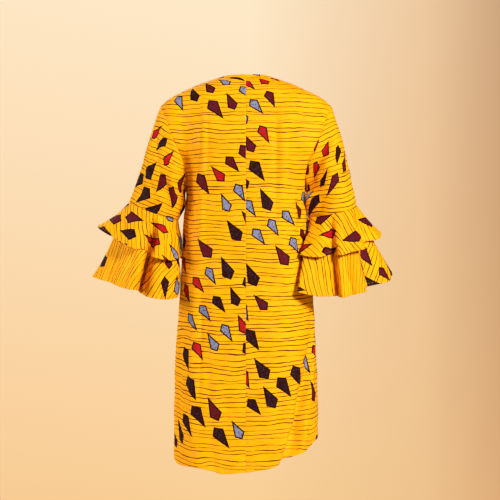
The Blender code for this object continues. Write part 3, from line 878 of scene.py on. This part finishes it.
def hollowed(points, side):
    """Sink places behind the armhole towards the front, the same way for all cloth that meets there."""
    push = creases(HOLLOWS, side, side * points[..., 0], -points[..., 2])
    push = push * smooth(points[..., 1] / HOLLOW_STARTS_OVER)
    return points + push[..., None] * np.array([0.0, 1.0, 0.0])


print("soft pushes:", len(LEANS["side"]), "on the arms,", len(HOLLOWS["side"]), "behind the armholes")

# %% Points of the sewn pieces
SLEEVE_LENGTH = 0.25
SLEEVE_STEP = 0.0045
sewn = []
for side, word in ((1, "left"), (-1, "right")):
    plain = bulged(body_panel(side, 1, ABOVE, BELOW, COLUMN), side)
    back = hollowed(plain, side)
    front = bulged(body_panel(side, -1, ABOVE, BELOW, COLUMN), side)
    ring = np.concatenate([front[:len(ABOVE), -1][::-1], plain[1:len(ABOVE), -1]])
    arm = sleeve(side, ring, sleeve_angles(ABOVE), spaced(SLEEVE_LENGTH, SLEEVE_STEP / QUICK))
    arm = hollowed(leaned(arm, side), side)
    for kind, points, turned in (("back", back, side), ("front", front, -side), ("sleeve", arm, -side)):
        sewn.append({
            "name": kind + "_" + word, "kind": kind, "side": side, "points": points, "turned": turned,
            "closed": kind == "sleeve", "back": back, "ring": arm[0],
        })
share_normals(sewn)
print("sewn pieces:", {piece["name"]: piece["points"].shape[:2] for piece in sewn})

# %% Places in the flat cut
LEVEL_DROP = 0.30
SLOPE_ACROSS = 0.095
RISE_TO_SIDE = 0.010
RISE_POWER = 1.5
RISES_OVER = 0.3
FLAT_ROWS = 260
FLAT_COLUMNS = 200


def read_grid(values, places, rows, row, column):
    """Read a grid between its corners: rows lie at even places, and so do columns."""
    low = np.clip(np.searchsorted(rows, row, side="right") - 1, 0, len(rows) - 2)
    part = np.clip((row - rows[low]) / (rows[low + 1] - rows[low]), 0.0, 1.0)
    left = np.clip(np.searchsorted(places, column, side="right") - 1, 0, len(places) - 2)
    beside = np.clip((column - places[left]) / (places[left + 1] - places[left]), 0.0, 1.0)
    above = values[low, left] * (1 - beside) + values[low, left + 1] * beside
    below = values[low + 1, left] * (1 - beside) + values[low + 1, left + 1] * beside
    return above * (1 - part) + below * part


def body_flat(points, side, face, column):
    """Give the places in the flat cut, whose grain hangs level.

    One is metres round the level oval from the centre, the other metres down along the torso's slope.
    """
    drops = np.linspace(0.0, 1.0, FLAT_ROWS)
    shares = np.linspace(0.0, 1.0, FLAT_COLUMNS)
    wide = shares[None, :] * half_width(drops)[:, None]
    grid = torso(1, face, wide, drops[:, None] + 0 * shares[None, :])
    drop = -points[..., 2]
    share = np.abs(points[..., 0]) / half_width(drop)
    around = read_grid(lengths(grid, 1), shares, drops, drop, share)
    slope = lengths(torso(1, face, np.full_like(drops, SLOPE_ACROSS), drops)[:, None, :], 0)[:, 0]
    slope = slope - np.interp(LEVEL_DROP, drops, slope) + LEVEL_DROP
    down = np.interp(drop, drops, slope)
    lower = smooth((drop - LEVEL_DROP) / RISES_OVER)
    down = down + RISE_TO_SIDE * column[None, :] ** RISE_POWER * lower
    return np.stack([side * face * around, -down], axis=-1)


def round_from_top(points):
    """Give the metres round a sleeve from its top line, which is its middle column."""
    around = lengths(points, 1)
    return around - around[:, points.shape[1] // 2][:, None]


def sleeve_flat(points, side):
    """Give the places in a sleeve's flat cut: metres round from its top line and up from its end."""
    down = lengths(points, 0)
    return np.stack([side * round_from_top(points), down[-1] - down], axis=-1)


def flounce_flat(points, side, grain, ring):
    """Give the places in a flounce's flat cut, part of a ring.

    Its middle is laid at an angle to the grain, the turn goes by share of the seam, and the radius grows
    by the way down from the seam.
    """
    seam = lengths(points[:1], 1)[0]
    turn = (seam / seam[-1] - 0.5) * np.radians(ring) + np.radians(grain)
    radius = seam[-1] / np.radians(ring) + lengths(points, 0)
    return np.stack([side * radius * np.cos(turn), radius * np.sin(turn)], axis=-1)


# %% Creases on the sewn pieces
CLEAR_OF_ARMHOLE = 0.022
CLEAR_OF_CUFF = 0.03
# Height, size and seed of each unevenness
BODY_UNEVEN = ((0.0014, 0.055, 1), (0.0007, 0.024, 2))

for piece in sewn:
    points = piece["points"]
    side = piece["side"]
    around = lengths(points, 1)
    down = lengths(points, 0)
    to_side = around[:, -1:] - around
    if piece["kind"] == "sleeve":
        to_cuff = down[-1][None, :] - down
        edge = np.minimum(down, to_cuff)
        push = creases(SLEEVE_CREASES, side, round_from_top(points), down)
        push = push * smooth(to_cuff / CLEAR_OF_CUFF)
        piece["flat"] = sleeve_flat(points, side)
    else:
        place = around
        edge = np.minimum(to_side, down)
        if piece["kind"] == "back":
            edge = np.minimum(edge, around)
        else:
            half = lengths(piece["back"], 1)[:, -1]
            girth = np.interp(-points[..., 2], -piece["back"][:, -1, 2], half)
            place = girth + around[:, -1:] - around
        push = creases(BODY_CREASES, side, place, -points[..., 2])
        piece["flat"] = body_flat(points, side, 1 if piece["kind"] == "back" else -1, COLUMN)
    slow = sum(height * uneven(points, size, seed) for height, size, seed in BODY_UNEVEN)
    push = (push + slow) * smooth(nearest(points, piece["ring"][::2]) / CLEAR_OF_ARMHOLE)
    piece["push"] = push + seam_effect(points, edge)
    piece["points"] = points + piece["push"][..., None] * piece["normals"]
deepest = {piece["name"]: round(1000 * float(piece["push"].min()), 1) for piece in sewn}
print("deepest push in mm:", deepest)

# %% Flounces
# How each flounce is laid on the cloth and how much of a full ring it is, in degrees
GRAIN_AND_RING = {
    "lower_flounce_left": (-14, 150),
    "lower_flounce_right": (-50, 190),
    "upper_flounce_left": (-55, 165),
    "upper_flounce_right": (-9, 175),
}
LINES_BETWEEN_FLUTES = 14
FLOUNCE_STEP = 0.0038
HELD_BY_SEAM = 0.03
FLOUNCE_UNEVEN = ((0.0022, 0.045, 3), (0.0010, 0.018, 4))
flounces = []
for side, word in ((1, "left"), (-1, "right")):
    degrees = flounce_angles(side, int(LINES_BETWEEN_FLUTES * QUICK))
    for name, shape, length in (
        ("lower_flounce_" + word, lower_flounce, 0.2),
        ("upper_flounce_" + word, upper_flounce, 0.1),
    ):
        points = leaned(shape(side, degrees, spaced(length, FLOUNCE_STEP / QUICK)), side)
        flat = flounce_flat(points, side, *GRAIN_AND_RING[name])
        free = smooth(lengths(points, 0) / HELD_BY_SEAM)
        push = sum(height * uneven(points, size, seed) * free for height, size, seed in FLOUNCE_UNEVEN)
        points = points + push[..., None] * unit(grid_normals(points, -side, True))
        flounces.append({
            "name": name, "kind": "flounce", "points": points, "turned": -side, "closed": True,
            "flat": flat, "normals": unit(grid_normals(points, -side, True)),
        })
print("flounce grids:", {piece["name"]: piece["points"].shape[:2] for piece in flounces})


# %% [markdown]
# ## The print
#
# The cotton is printed on both sides with a waxy resist, which gives a strong yellow ground, dark brown
# lines of uneven thickness and a fine crackle. The lines run across the cloth and wander. Over them lie
# groups of kites with black edges, some plum, some maroon, red or speckled grey.
#
# A photograph could be wrapped on, but the pattern would then be fixed to one view. Here it is worked
# out from the place in the flat cut, so it is sharp at any distance and has no seams of its own.

# %% Colours and node helpers
def colour(text):
    """Turn an sRGB hex colour into linear values."""
    values = np.array([int(text[i:i + 2], 16) for i in (1, 3, 5)]) / 255
    linear = np.where(values <= 0.04045, values / 12.92, ((values + 0.055) / 1.055) ** 2.4)
    return (*linear.tolist(), 1.0)


def node(tree, kind, inputs=(), **settings):
    """Add one node: settings are its own properties, inputs its sockets, as a value or a socket to link."""
    made = tree.nodes.new("ShaderNode" + kind)
    for name, value in settings.items():
        setattr(made, name, value)
    for name, value in dict(inputs).items():
        if isinstance(value, bpy.types.NodeSocket):
            tree.links.new(value, made.inputs[name])
        else:
            made.inputs[name].default_value = value
    return made


def maths(tree, operation, *values, clamp=False):
    """Work out one step of arithmetic on numbers or sockets."""
    return node(tree, "Math", dict(enumerate(values)), operation=operation, use_clamp=clamp).outputs[0]


def noise(tree, place, scale, detail):
    """Give a soft noise from 0 to 1 at a place."""
    return node(tree, "TexNoise", {"Vector": place, "Scale": scale, "Detail": detail}).outputs["Fac"]


def mixed(tree, share, first, second):
    """Give the first colour at share 0 and the second at share 1."""
    sockets = {"Factor": share, "A": first, "B": second}
    return node(tree, "Mix", sockets, data_type="RGBA").outputs["Result"]


def ramp(tree, value, stops, interpolation="LINEAR"):
    """Turn a value into a colour by stops, each a position and a colour."""
    made = node(tree, "ValToRGB", {"Fac": value})
    made.color_ramp.interpolation = interpolation
    for position, _ in stops[2:]:
        made.color_ramp.elements.new(position)
    for element, (position, text) in zip(made.color_ramp.elements, stops):
        element.position = position
        element.color = colour(text)
    return made.outputs[0]


def shaded_material(name, roughness):
    """Make a material and give it, its node tree and its shader."""
    material = bpy.data.materials.new(name)
    material.use_nodes = True
    shader = material.node_tree.nodes["Principled BSDF"]
    shader.inputs["Roughness"].default_value = roughness
    return material, material.node_tree, shader


# %% Stripes
# In millimetres: the bands' pitch, how far two noises bend them, and a line's thickness
STRIPE_BAND = 11.3
SLOW_BEND = 24.0
QUICK_BEND = 5.0
THICK_BY_NOISE = (1.9, -0.42)
THICK_BY_CHANCE = 0.6
# A line's height in its band, as a share of it
HEIGHT_BY_CHANCE = (0.52, -0.01)
HEIGHT_BY_NOISE = 0.48
STRIPE_SHARPNESS = 3.0
# How far apart in the noise two bands' waves are read, so that neighbours differ
BAND_APART = 211.7
# Scales of the noises: of both bends, and of a line's height and thickness
SLOW_SCALE = 0.0075
QUICK_SCALE = 0.028
HEIGHT_SCALE = 0.016
THICK_SCALE = 0.034


def stripes(tree, across, along):
    """Give 1 on the wavy lines and 0 between them.

    The place along the cloth is bent by two noises and divided into bands. Each band has one line at its
    own height, with its own waves and thickness, that thins out here and there.
    """
    place = node(tree, "CombineXYZ", {"X": across, "Y": along}).outputs[0]
    bent = maths(tree, "MULTIPLY_ADD", noise(tree, place, SLOW_SCALE, 1.0), SLOW_BEND, along)
    bent = maths(tree, "MULTIPLY_ADD", noise(tree, place, QUICK_SCALE, 1.0), QUICK_BEND, bent)
    bands = maths(tree, "DIVIDE", bent, STRIPE_BAND)
    band = maths(tree, "FLOOR", bands)
    chance = node(tree, "TexWhiteNoise", {"W": band}, noise_dimensions="1D")
    parts = node(tree, "SeparateXYZ", {"Vector": chance.outputs["Color"]})
    own = {"X": across, "Y": maths(tree, "MULTIPLY", band, BAND_APART)}
    own = node(tree, "CombineXYZ", own).outputs[0]
    height = maths(tree, "MULTIPLY_ADD", parts.outputs["X"], *HEIGHT_BY_CHANCE)
    height = maths(tree, "MULTIPLY_ADD", noise(tree, own, HEIGHT_SCALE, 1.5), HEIGHT_BY_NOISE, height)
    away = maths(tree, "SUBTRACT", maths(tree, "FRACT", bands), height)
    away = maths(tree, "MULTIPLY", maths(tree, "ABSOLUTE", away), STRIPE_BAND)
    thick = maths(tree, "MULTIPLY_ADD", noise(tree, own, THICK_SCALE, 1.0), *THICK_BY_NOISE)
    thick = maths(tree, "MULTIPLY_ADD", parts.outputs["Y"], THICK_BY_CHANCE, thick)
    inside = maths(tree, "SUBTRACT", thick, away)
    return maths(tree, "MULTIPLY_ADD", inside, STRIPE_SHARPNESS, 0.5, clamp=True)


# %% Kites
# In millimetres: a cell's width and length, and how far its edge cuts a kite off
KITE_CELL = (43.0, 68.0)
CELL_MARGIN = 0.7
CELL_TURN = 0.55
ROW_OFFSET = 0.43
# Half width, length above and below the widest place, in mm, of a large dark kite and of a small one
LARGE_KITE = (16.5, 16.0, 47.0)
SMALL_KITE = (13.5, 13.0, 39.0)
# The range in mm over which a kite strays from its cell's middle, and its turn either way in radians
KITE_SPREAD = 3.0
KITE_TURN = 0.18
# The group noise: its scale, where it is read, and the values from which large and small kites stand
GROUP_SCALE = 0.0062
GROUP_HEIGHT = 40.0
LARGE_FROM = 0.48
SMALL_FROM = 0.56
LEFT_OUT = 0.06
FAR_OUTSIDE = 100.0


def side_distance(tree, across, along, half, tip):
    """Give how far a place is outside one slanting side of a kite, from its widest place to a tip."""
    long = maths(tree, "SQRT", maths(tree, "MULTIPLY_ADD", half, half, maths(tree, "MULTIPLY", tip, tip)))
    sideways = maths(tree, "MULTIPLY", maths(tree, "SUBTRACT", across, half), tip)
    forward = maths(tree, "MULTIPLY", along, half)
    return maths(tree, "DIVIDE", maths(tree, "ADD", sideways, forward), long)


def kites(tree, place):
    """Give the depth inside the nearest kite in mm, its own random value and whether it is a small one.

    The cloth is divided into cells, turned by an angle and offset from row to row. A slow noise, read at
    each cell's middle, decides whether the cell is plain, holds a large kite or a small one. Each kite is
    turned a little by chance, or upside down, and cut off where its cell ends.
    """
    turned = node(tree, "VectorRotate", {"Vector": place, "Angle": CELL_TURN}, rotation_type="Z_AXIS")
    parts = node(tree, "SeparateXYZ", {"Vector": turned.outputs[0]})
    rows = maths(tree, "DIVIDE", parts.outputs["Y"], KITE_CELL[1])
    row = maths(tree, "FLOOR", rows)
    offset = maths(tree, "MULTIPLY", row, ROW_OFFSET)
    columns = maths(tree, "ADD", maths(tree, "DIVIDE", parts.outputs["X"], KITE_CELL[0]), offset)
    column = maths(tree, "FLOOR", columns)
    middle = node(tree, "CombineXYZ", {
        "X": maths(tree, "MULTIPLY", maths(tree, "SUBTRACT", column, offset), KITE_CELL[0]),
        "Y": maths(tree, "MULTIPLY", row, KITE_CELL[1]),
        "Z": GROUP_HEIGHT,
    }).outputs[0]
    group = noise(tree, middle, GROUP_SCALE, 0.0)
    small = maths(tree, "GREATER_THAN", group, SMALL_FROM)
    name = node(tree, "CombineXYZ", {"X": column, "Y": row, "Z": 7.0}).outputs[0]
    chance = node(tree, "TexWhiteNoise", {"Vector": name}, noise_dimensions="3D")
    own = node(tree, "SeparateXYZ", {"Vector": chance.outputs["Color"]})
    local = []
    over = []
    for cells, size, stray in zip((columns, rows), KITE_CELL, (own.outputs["X"], own.outputs["Y"])):
        way = maths(tree, "MULTIPLY", maths(tree, "SUBTRACT", maths(tree, "FRACT", cells), 0.5), size)
        over.append(maths(tree, "SUBTRACT", maths(tree, "ABSOLUTE", way), size / 2))
        local.append(maths(tree, "MULTIPLY_ADD", maths(tree, "SUBTRACT", stray, 0.5), KITE_SPREAD, way))
    edge = maths(tree, "ADD", maths(tree, "MAXIMUM", *over), CELL_MARGIN)
    flip = maths(tree, "MULTIPLY", maths(tree, "GREATER_THAN", own.outputs["Z"], 0.5), np.pi)
    least = maths(tree, "SUBTRACT", flip, KITE_TURN)
    angle = maths(tree, "MULTIPLY_ADD", chance.outputs["Value"], 2 * KITE_TURN, least)
    local = node(tree, "CombineXYZ", {"X": local[0], "Y": local[1]}).outputs[0]
    spun = node(tree, "VectorRotate", {"Vector": local, "Angle": angle}, rotation_type="Z_AXIS").outputs[0]
    spun = node(tree, "SeparateXYZ", {"Vector": spun})
    half, above, below = (
        maths(tree, "MULTIPLY_ADD", small, little - large, large)
        for large, little in zip(LARGE_KITE, SMALL_KITE)
    )
    across = maths(tree, "ABSOLUTE", spun.outputs["X"])
    shift = maths(tree, "MULTIPLY", maths(tree, "SUBTRACT", below, above), 0.5)
    along = maths(tree, "SUBTRACT", spun.outputs["Y"], shift)
    up = side_distance(tree, across, along, half, above)
    down = side_distance(tree, across, maths(tree, "MULTIPLY", along, -1.0), half, below)
    outside = maths(tree, "MAXIMUM", maths(tree, "MAXIMUM", up, down), edge)
    # Two further random values come from the finer digits of the first ones
    lot = maths(tree, "FRACT", maths(tree, "MULTIPLY", own.outputs["X"], 5.0))
    skipped = maths(tree, "LESS_THAN", lot, LEFT_OUT)
    absent = maths(tree, "MAXIMUM", maths(tree, "LESS_THAN", group, LARGE_FROM), skipped)
    absent = maths(tree, "MULTIPLY", absent, FAR_OUTSIDE)
    depth = maths(tree, "MULTIPLY", maths(tree, "ADD", outside, absent), -1.0)
    return depth, maths(tree, "FRACT", maths(tree, "MULTIPLY", own.outputs["Y"], 7.0)), small


# %% The printed cotton
# Inks by their value, and in mm the kites' black edge and the pitch of the threads both ways
GROUND = ((0.3, "#f3a200"), (0.7, "#faae02"))
LINE_INK = "#240804"
EDGE_INK = "#120404"
SPECK_INK = "#342a36"
LARGE_INKS = ((0.0, "#28050a"), (0.66, "#5a0615"))
SMALL_INKS = ((0.0, "#28050a"), (0.16, "#b4080d"), (0.42, "#7b80a6"), (0.80, "#5a0615"))
OUTLINE = 3.2
KITE_SHARPNESS = 2.5
THREAD_PITCH = (0.55, 0.6)
GROUND_SCALE = 0.02
# Real specks are under a millimetre wide. These are about three, so that they show in the picture
SPECK_SCALE = 0.22
SPECK_EDGE = (-7.0, 3.0)
SPECK_STRENGTH = 0.8


def printed_cotton():
    """Make the wax-printed cotton: ground, lines, kites, weave and a soft dry sheen."""
    material, tree, shader = shaded_material("wax_printed_cotton", 0.72)
    uv = node(tree, "UVMap", uv_map="flat").outputs[0]
    place = node(tree, "VectorMath", {0: uv, "Scale": 1000.0}, operation="SCALE").outputs[0]
    parts = node(tree, "SeparateXYZ", {"Vector": place})
    ground = ramp(tree, noise(tree, place, GROUND_SCALE, 3.0), GROUND)
    shown = mixed(tree, stripes(tree, parts.outputs["X"], parts.outputs["Y"]), ground, colour(LINE_INK))
    speck = node(tree, "TexVoronoi", {"Vector": place, "Scale": SPECK_SCALE}).outputs["Distance"]
    speck = maths(tree, "MULTIPLY_ADD", speck, *SPECK_EDGE, clamp=True)
    depth, chance, small = kites(tree, place)
    inks = [ramp(tree, chance, stops, "CONSTANT") for stops in (LARGE_INKS, SMALL_INKS)]
    ink = mixed(tree, small, *inks)
    mottled = mixed(tree, maths(tree, "MULTIPLY", speck, SPECK_STRENGTH), ink, colour(SPECK_INK))
    body = maths(tree, "MULTIPLY_ADD", depth, KITE_SHARPNESS, 0.5, clamp=True)
    inside = maths(tree, "SUBTRACT", depth, OUTLINE)
    inside = maths(tree, "MULTIPLY_ADD", inside, KITE_SHARPNESS, 0.5, clamp=True)
    shown = mixed(tree, body, shown, colour(EDGE_INK))
    shown = mixed(tree, inside, shown, mottled)
    tree.links.new(shown, shader.inputs["Base Color"])
    warp, weft = (
        maths(tree, "SINE", maths(tree, "MULTIPLY", parts.outputs[axis], 2 * np.pi / pitch))
        for axis, pitch in zip("XY", THREAD_PITCH)
    )
    weave = maths(tree, "MULTIPLY", warp, weft)
    creased = node(tree, "TexNoise", {"Vector": place, "Scale": 0.05, "Detail": 4.0, "Roughness": 0.6})
    first = node(tree, "Bump", {"Strength": 0.25, "Distance": 0.00012, "Height": weave})
    second = node(tree, "Bump", {
        "Strength": 0.5,
        "Distance": 0.0025,
        "Height": creased.outputs["Fac"],
        "Normal": first.outputs[0],
    })
    tree.links.new(second.outputs[0], shader.inputs["Normal"])
    shader.inputs["Specular IOR Level"].default_value = 0.08
    shader.inputs["Sheen Weight"].default_value = 0.02
    shader.inputs["Sheen Roughness"].default_value = 0.4
    return material


cotton = printed_cotton()
print("cotton has", len(cotton.node_tree.nodes), "nodes")

# %% Make the pieces
CLOTH = 0.0006
HEM_CLOTH = 0.0013
HEM_DEPTH = 0.018
HEM_STEP = 0.0015
# Where each piece is cut from the printed cloth, in metres, so that no two share a stretch of the print
FLAT_SHIFT = {
    "back_left": (0.412, 0.313),
    "back_right": (1.937, 0.309),
    "front_left": (3.113, 0.771),
    "front_right": (4.611, 0.774),
    "sleeve_left": (5.517, 1.213),
    "sleeve_right": (6.433, 1.512),
    "lower_flounce_left": (7.321, 2.211),
    "lower_flounce_right": (8.533, 2.412),
    "upper_flounce_left": (9.127, 3.133),
    "upper_flounce_right": (10.071, 3.317),
}
share_normals(sewn)
for piece in sewn + flounces:
    points = piece["points"]
    name = piece["name"]
    way = lengths(points, 0)
    to_edge = way[-1][None, :] - way
    thick = np.full(points.shape[:2], CLOTH)
    if piece["kind"] != "sleeve":
        thick = CLOTH + (HEM_CLOTH - CLOTH) * (1 - smooth((to_edge - HEM_DEPTH) / HEM_STEP))
    outer = cut_back(points, piece["closed"])
    inner = outer - thick[..., None] * piece["normals"]
    flat = piece["flat"] + np.array(FLAT_SHIFT[name])
    thing = wall("cotton_" + name, outer, inner, flat, piece["turned"], piece["closed"])
    thing.data.materials.append(cotton)
    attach(thing, "root")
    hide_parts(name)
    print(name, len(thing.data.polygons) * 2, "triangles")


# %% [markdown]
# ## Stitches
#
# A hem is turned up twice and sewn through with a straight stitch, about nine stitches to the inch.
# From outside each stitch is a short, slightly sunk length of thread. Neck and front edges are stitched
# too, and the flounces have narrow hems. All stitches of one kind are one mesh: a small spindle,
# repeated.

# %% Lines inside an edge
def inset_line(piece, inset, edge):
    """Give the line at an inset from one edge of a piece, and the way out of the cloth along it."""
    points = piece["points"]
    normals = piece["normals"]
    if edge in ("centre", "side"):
        points = points.transpose(1, 0, 2)
        normals = normals.transpose(1, 0, 2)
    if edge in ("bottom", "side"):
        points = points[::-1]
        normals = normals[::-1]
    way = lengths(points, 0)
    row = np.clip((way <= inset).sum(axis=0) - 1, 0, len(way) - 2)
    column = np.arange(points.shape[1])
    part = ((inset - way[row, column]) / (way[row + 1, column] - way[row, column]))[:, None]
    line = points[row, column] * (1 - part) + points[row + 1, column] * part
    return line, unit(normals[row, column] * (1 - part) + normals[row + 1, column] * part)


# %% One mesh of many stitches
STITCH_PITCH = 0.0029
STITCH_LENGTH = 0.0024
THREAD = 0.00052
# The rings of a stitch: place along it and width, as shares, and the corners of each
RINGS = ((-0.36, 0.7), (0.0, 1.0), (0.36, 0.7))
CORNERS = 5


def spindles(lines):
    """Give corners and faces of one spindle per stitch along lines: three rings of corners and two tips."""
    starts = []
    alongs = []
    ups = []
    for line, out in lines:
        way = lengths(line, 0)
        count = int(way[-1] / STITCH_PITCH)
        middle = (np.arange(count) + 0.5) * way[-1] / count
        at = [np.stack([np.interp(middle + shift, way, line[:, i]) for i in range(3)], axis=-1)
              for shift in (-STITCH_LENGTH / 2, STITCH_LENGTH / 2)]
        starts.append((at[0] + at[1]) / 2)
        alongs.append(unit(at[1] - at[0]))
        ups.append(unit(np.stack([np.interp(middle, way, out[:, i]) for i in range(3)], axis=-1)))
    start, along, up = (np.concatenate(rows)[:, None, :] for rows in (starts, alongs, ups))
    beside = np.cross(along, up)
    turn = np.arange(CORNERS) * 2 * np.pi / CORNERS
    round_it = [(wide * np.cos(a), t, wide * np.sin(a)) for t, wide in RINGS for a in turn]
    shape = np.array([(0, -0.5, 0)] + round_it + [(0, 0.5, 0)])
    shape = shape * np.array([THREAD / 2, STITCH_LENGTH, THREAD / 2])
    corners = start + shape[None, :, :1] * beside + shape[None, :, 1:2] * along + shape[None, :, 2:] * up
    ring = 1 + np.arange(len(RINGS) * CORNERS).reshape(-1, CORNERS)
    after = np.roll(ring, -1, axis=1)
    tip = np.zeros(CORNERS, int)
    triangles = [(ring[0], after[0], tip), (after[-1], ring[-1], tip + len(shape) - 1)]
    for low in range(len(RINGS) - 1):
        triangles.append((ring[low + 1], after[low], ring[low]))
        triangles.append((ring[low + 1], after[low + 1], after[low]))
    faces = np.concatenate([np.stack(three, axis=-1) for three in triangles])
    number = np.arange(len(start))[:, None, None] * len(shape)
    return corners.reshape(-1, 3), (faces[None] + number).reshape(-1, 3)


# %% Thread, and sewing with it
def thread_material():
    """Make the sewing thread: twisted cotton, a little glossier than the cloth."""
    material, tree, shader = shaded_material("sewing_thread", 0.55)
    twist = noise(tree, node(tree, "TexCoord").outputs["Object"], 900.0, 2.0)
    tone = ramp(tree, twist, ((0.0, "#d98a05"), (1.0, "#f5b52c")))
    tree.links.new(tone, shader.inputs["Base Color"])
    bump = node(tree, "Bump", {"Strength": 0.5, "Distance": 0.0001, "Height": twist})
    tree.links.new(bump.outputs[0], shader.inputs["Normal"])
    return material


def sew(name, lines, thread):
    """Make the stitches along some lines as one piece."""
    corners, faces = spindles(lines)
    mesh = bpy.data.meshes.new(name)
    mesh.from_pydata(corners.tolist(), [], faces.tolist())
    mesh.shade_smooth()
    mesh.materials.append(thread)
    thing = added(name, mesh)
    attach(thing, "root")
    print(name, len(faces), "triangles")


# %% Sew hem, neck, front and flounces
NECK_INSET = 0.006
FRONT_INSET = 0.010
FLOUNCE_INSET = 0.007
BELOW_HEM_FOLD = 0.002
# The front's stitches start and end a few rows inside the panel
FRONT_ROWS = slice(3, -8)
thread = thread_material()
by_name = {piece["name"]: piece for piece in sewn + flounces}
bodies = ["back_left", "back_right", "front_left", "front_right"]
neck = int((COLUMN <= NECK_SHARE).sum())
hem_inset = HEM_DEPTH - BELOW_HEM_FOLD
neck_lines = [inset_line(by_name[name], NECK_INSET, "top") for name in bodies]
neck_lines = [(line[:neck], out[:neck]) for line, out in neck_lines]
front_lines = [inset_line(by_name[name], FRONT_INSET, "centre") for name in bodies[2:]]
front_lines = [(line[FRONT_ROWS], out[FRONT_ROWS]) for line, out in front_lines]
sew("stitches_hem", [inset_line(by_name[name], hem_inset, "bottom") for name in bodies], thread)
sew("stitches_neck_and_front", neck_lines + front_lines, thread)
sew("stitches_flounces", [inset_line(piece, FLOUNCE_INSET, "bottom") for piece in flounces], thread)


def cut_size(piece):
    """Give the width, length and area of a piece's flat cut, measured on its places in the cut."""
    flat = piece["flat"]
    width, length = np.ptp(flat.reshape(-1, 2), axis=0)
    one = flat[1:, 1:] - flat[:-1, :-1]
    two = flat[1:, :-1] - flat[:-1, 1:]
    area = 0.5 * np.abs(one[..., 0] * two[..., 1] - one[..., 1] * two[..., 0]).sum()
    return width, length, area


for piece in sewn + flounces:
    width, length, area = cut_size(piece)
    print(piece["name"], "cut", round(width, 3), "x", round(length, 3), "m, area", round(area, 4), "m2")


# %% [markdown]
# ## Floor, light and camera
#
# The coat hangs at the height of a standing wearer's shoulders over a plain pale floor. The light is
# soft, from behind on the upper right, with a weaker one from the left and one for the front side.

# %% Floor
FLOOR_HEIGHT = -1.42
FLOOR_RADIUS = 1.6
FLOOR_CORNERS = 128


def pale_floor():
    """Make a round floor, level at its height."""
    angle = np.linspace(0.0, 2 * np.pi, FLOOR_CORNERS, endpoint=False)
    ring = np.stack([np.cos(angle), np.sin(angle), np.zeros_like(angle)], axis=-1) * FLOOR_RADIUS
    ring[:, 2] = FLOOR_HEIGHT
    mesh = bpy.data.meshes.new("floor")
    mesh.from_pydata(ring.tolist(), [], [tuple(range(len(ring)))])
    material, _, shader = shaded_material("pale_floor", 0.9)
    shader.inputs["Base Color"].default_value = colour("#f3dfc4")
    mesh.materials.append(material)
    return added("floor", mesh)


pale_floor()
print("floor at", FLOOR_HEIGHT, "m")


# %% Light
LIGHT_TARGET = (0, 0, -0.45)
WARM_WHITE = "#fff6ea"


def area_light(name, place, size, power):
    """Add a square soft light that faces the middle of the coat."""
    light = bpy.data.lights.new(name, "AREA")
    light.size = size
    light.energy = power
    light.color = colour(WARM_WHITE)[:3]
    thing = added(name, light)
    thing.location = place
    away = np.array(LIGHT_TARGET) - np.array(place)
    flat = np.hypot(away[0], away[1])
    thing.rotation_euler = (np.arctan2(flat, -away[2]), 0.0, np.arctan2(-away[0], away[1]))


area_light("key", (-1.9, 2.65, 1.0), 0.8, 197.0)
area_light("side", (3.2, 0.4, 0.4), 1.0, 100.0)
area_light("behind", (0.8, -3.2, 1.2), 2.2, 95.0)
print("lights:", len(bpy.data.lights))

# %% Backdrop
# The backdrop is painted light: the camera sees its painted colours at full strength, while it gives the
# coat only this share of light
BACKDROP_LIGHT = 0.05
# The camera takes in a width of 1 m at 2.24 m, so this spreads its view over 0 to 1
LENS_REACH = 2.24
# Painted light and shade on the backdrop, below and above, from left to right: lighter on the left, darker
# to the right
BACKDROP_PLACES = (0.0, 0.5, 0.84, 1.0)
PAINTED_BACKDROP_BELOW = ("#f8cb92", "#f9cf96", "#eec28c", "#dba976")
PAINTED_BACKDROP_ABOVE = ("#fee7c5", "#fee9c8", "#edc89f", "#c8a079")
world = bpy.data.worlds.new("studio")
bpy.context.scene.world = world
world.use_nodes = True
tree = world.node_tree
parts = node(tree, "SeparateXYZ", {"Vector": node(tree, "TexCoord").outputs["Generated"]})
across = maths(tree, "MULTIPLY_ADD", parts.outputs["X"], -LENS_REACH, 0.5, clamp=True)
height = maths(tree, "MULTIPLY_ADD", parts.outputs["Z"], LENS_REACH, 0.5, clamp=True)
# The backdrop's painted light and shade: a gradient from left to right, blended from below to above
rows = [
    ramp(tree, across, tuple(zip(BACKDROP_PLACES, tints)))
    for tints in (PAINTED_BACKDROP_BELOW, PAINTED_BACKDROP_ABOVE)
]
tree.links.new(mixed(tree, height, *rows), tree.nodes["Background"].inputs["Color"])
# The camera sees the painted backdrop at full strength, and all other rays get only BACKDROP_LIGHT of it
seen = node(tree, "LightPath").outputs["Is Camera Ray"]
strength = maths(tree, "MULTIPLY_ADD", seen, 1 - BACKDROP_LIGHT, BACKDROP_LIGHT)
tree.links.new(strength, tree.nodes["Background"].inputs["Strength"])
bpy.context.scene.view_settings.view_transform = "Standard"
print("backdrop has", len(tree.nodes), "nodes")

# %% Camera
camera = bpy.data.cameras.new("camera")
camera.sensor_width = 36.0
camera.lens = 80.64
camera_object = added("camera", camera)
camera_object.location = (-0.010, 2.8, -0.4325)
camera_object.rotation_euler = (np.pi / 2, 0.0, np.pi)
bpy.context.scene.camera = camera_object
print("camera", round(camera_object.location[1], 2), "m behind the neck")
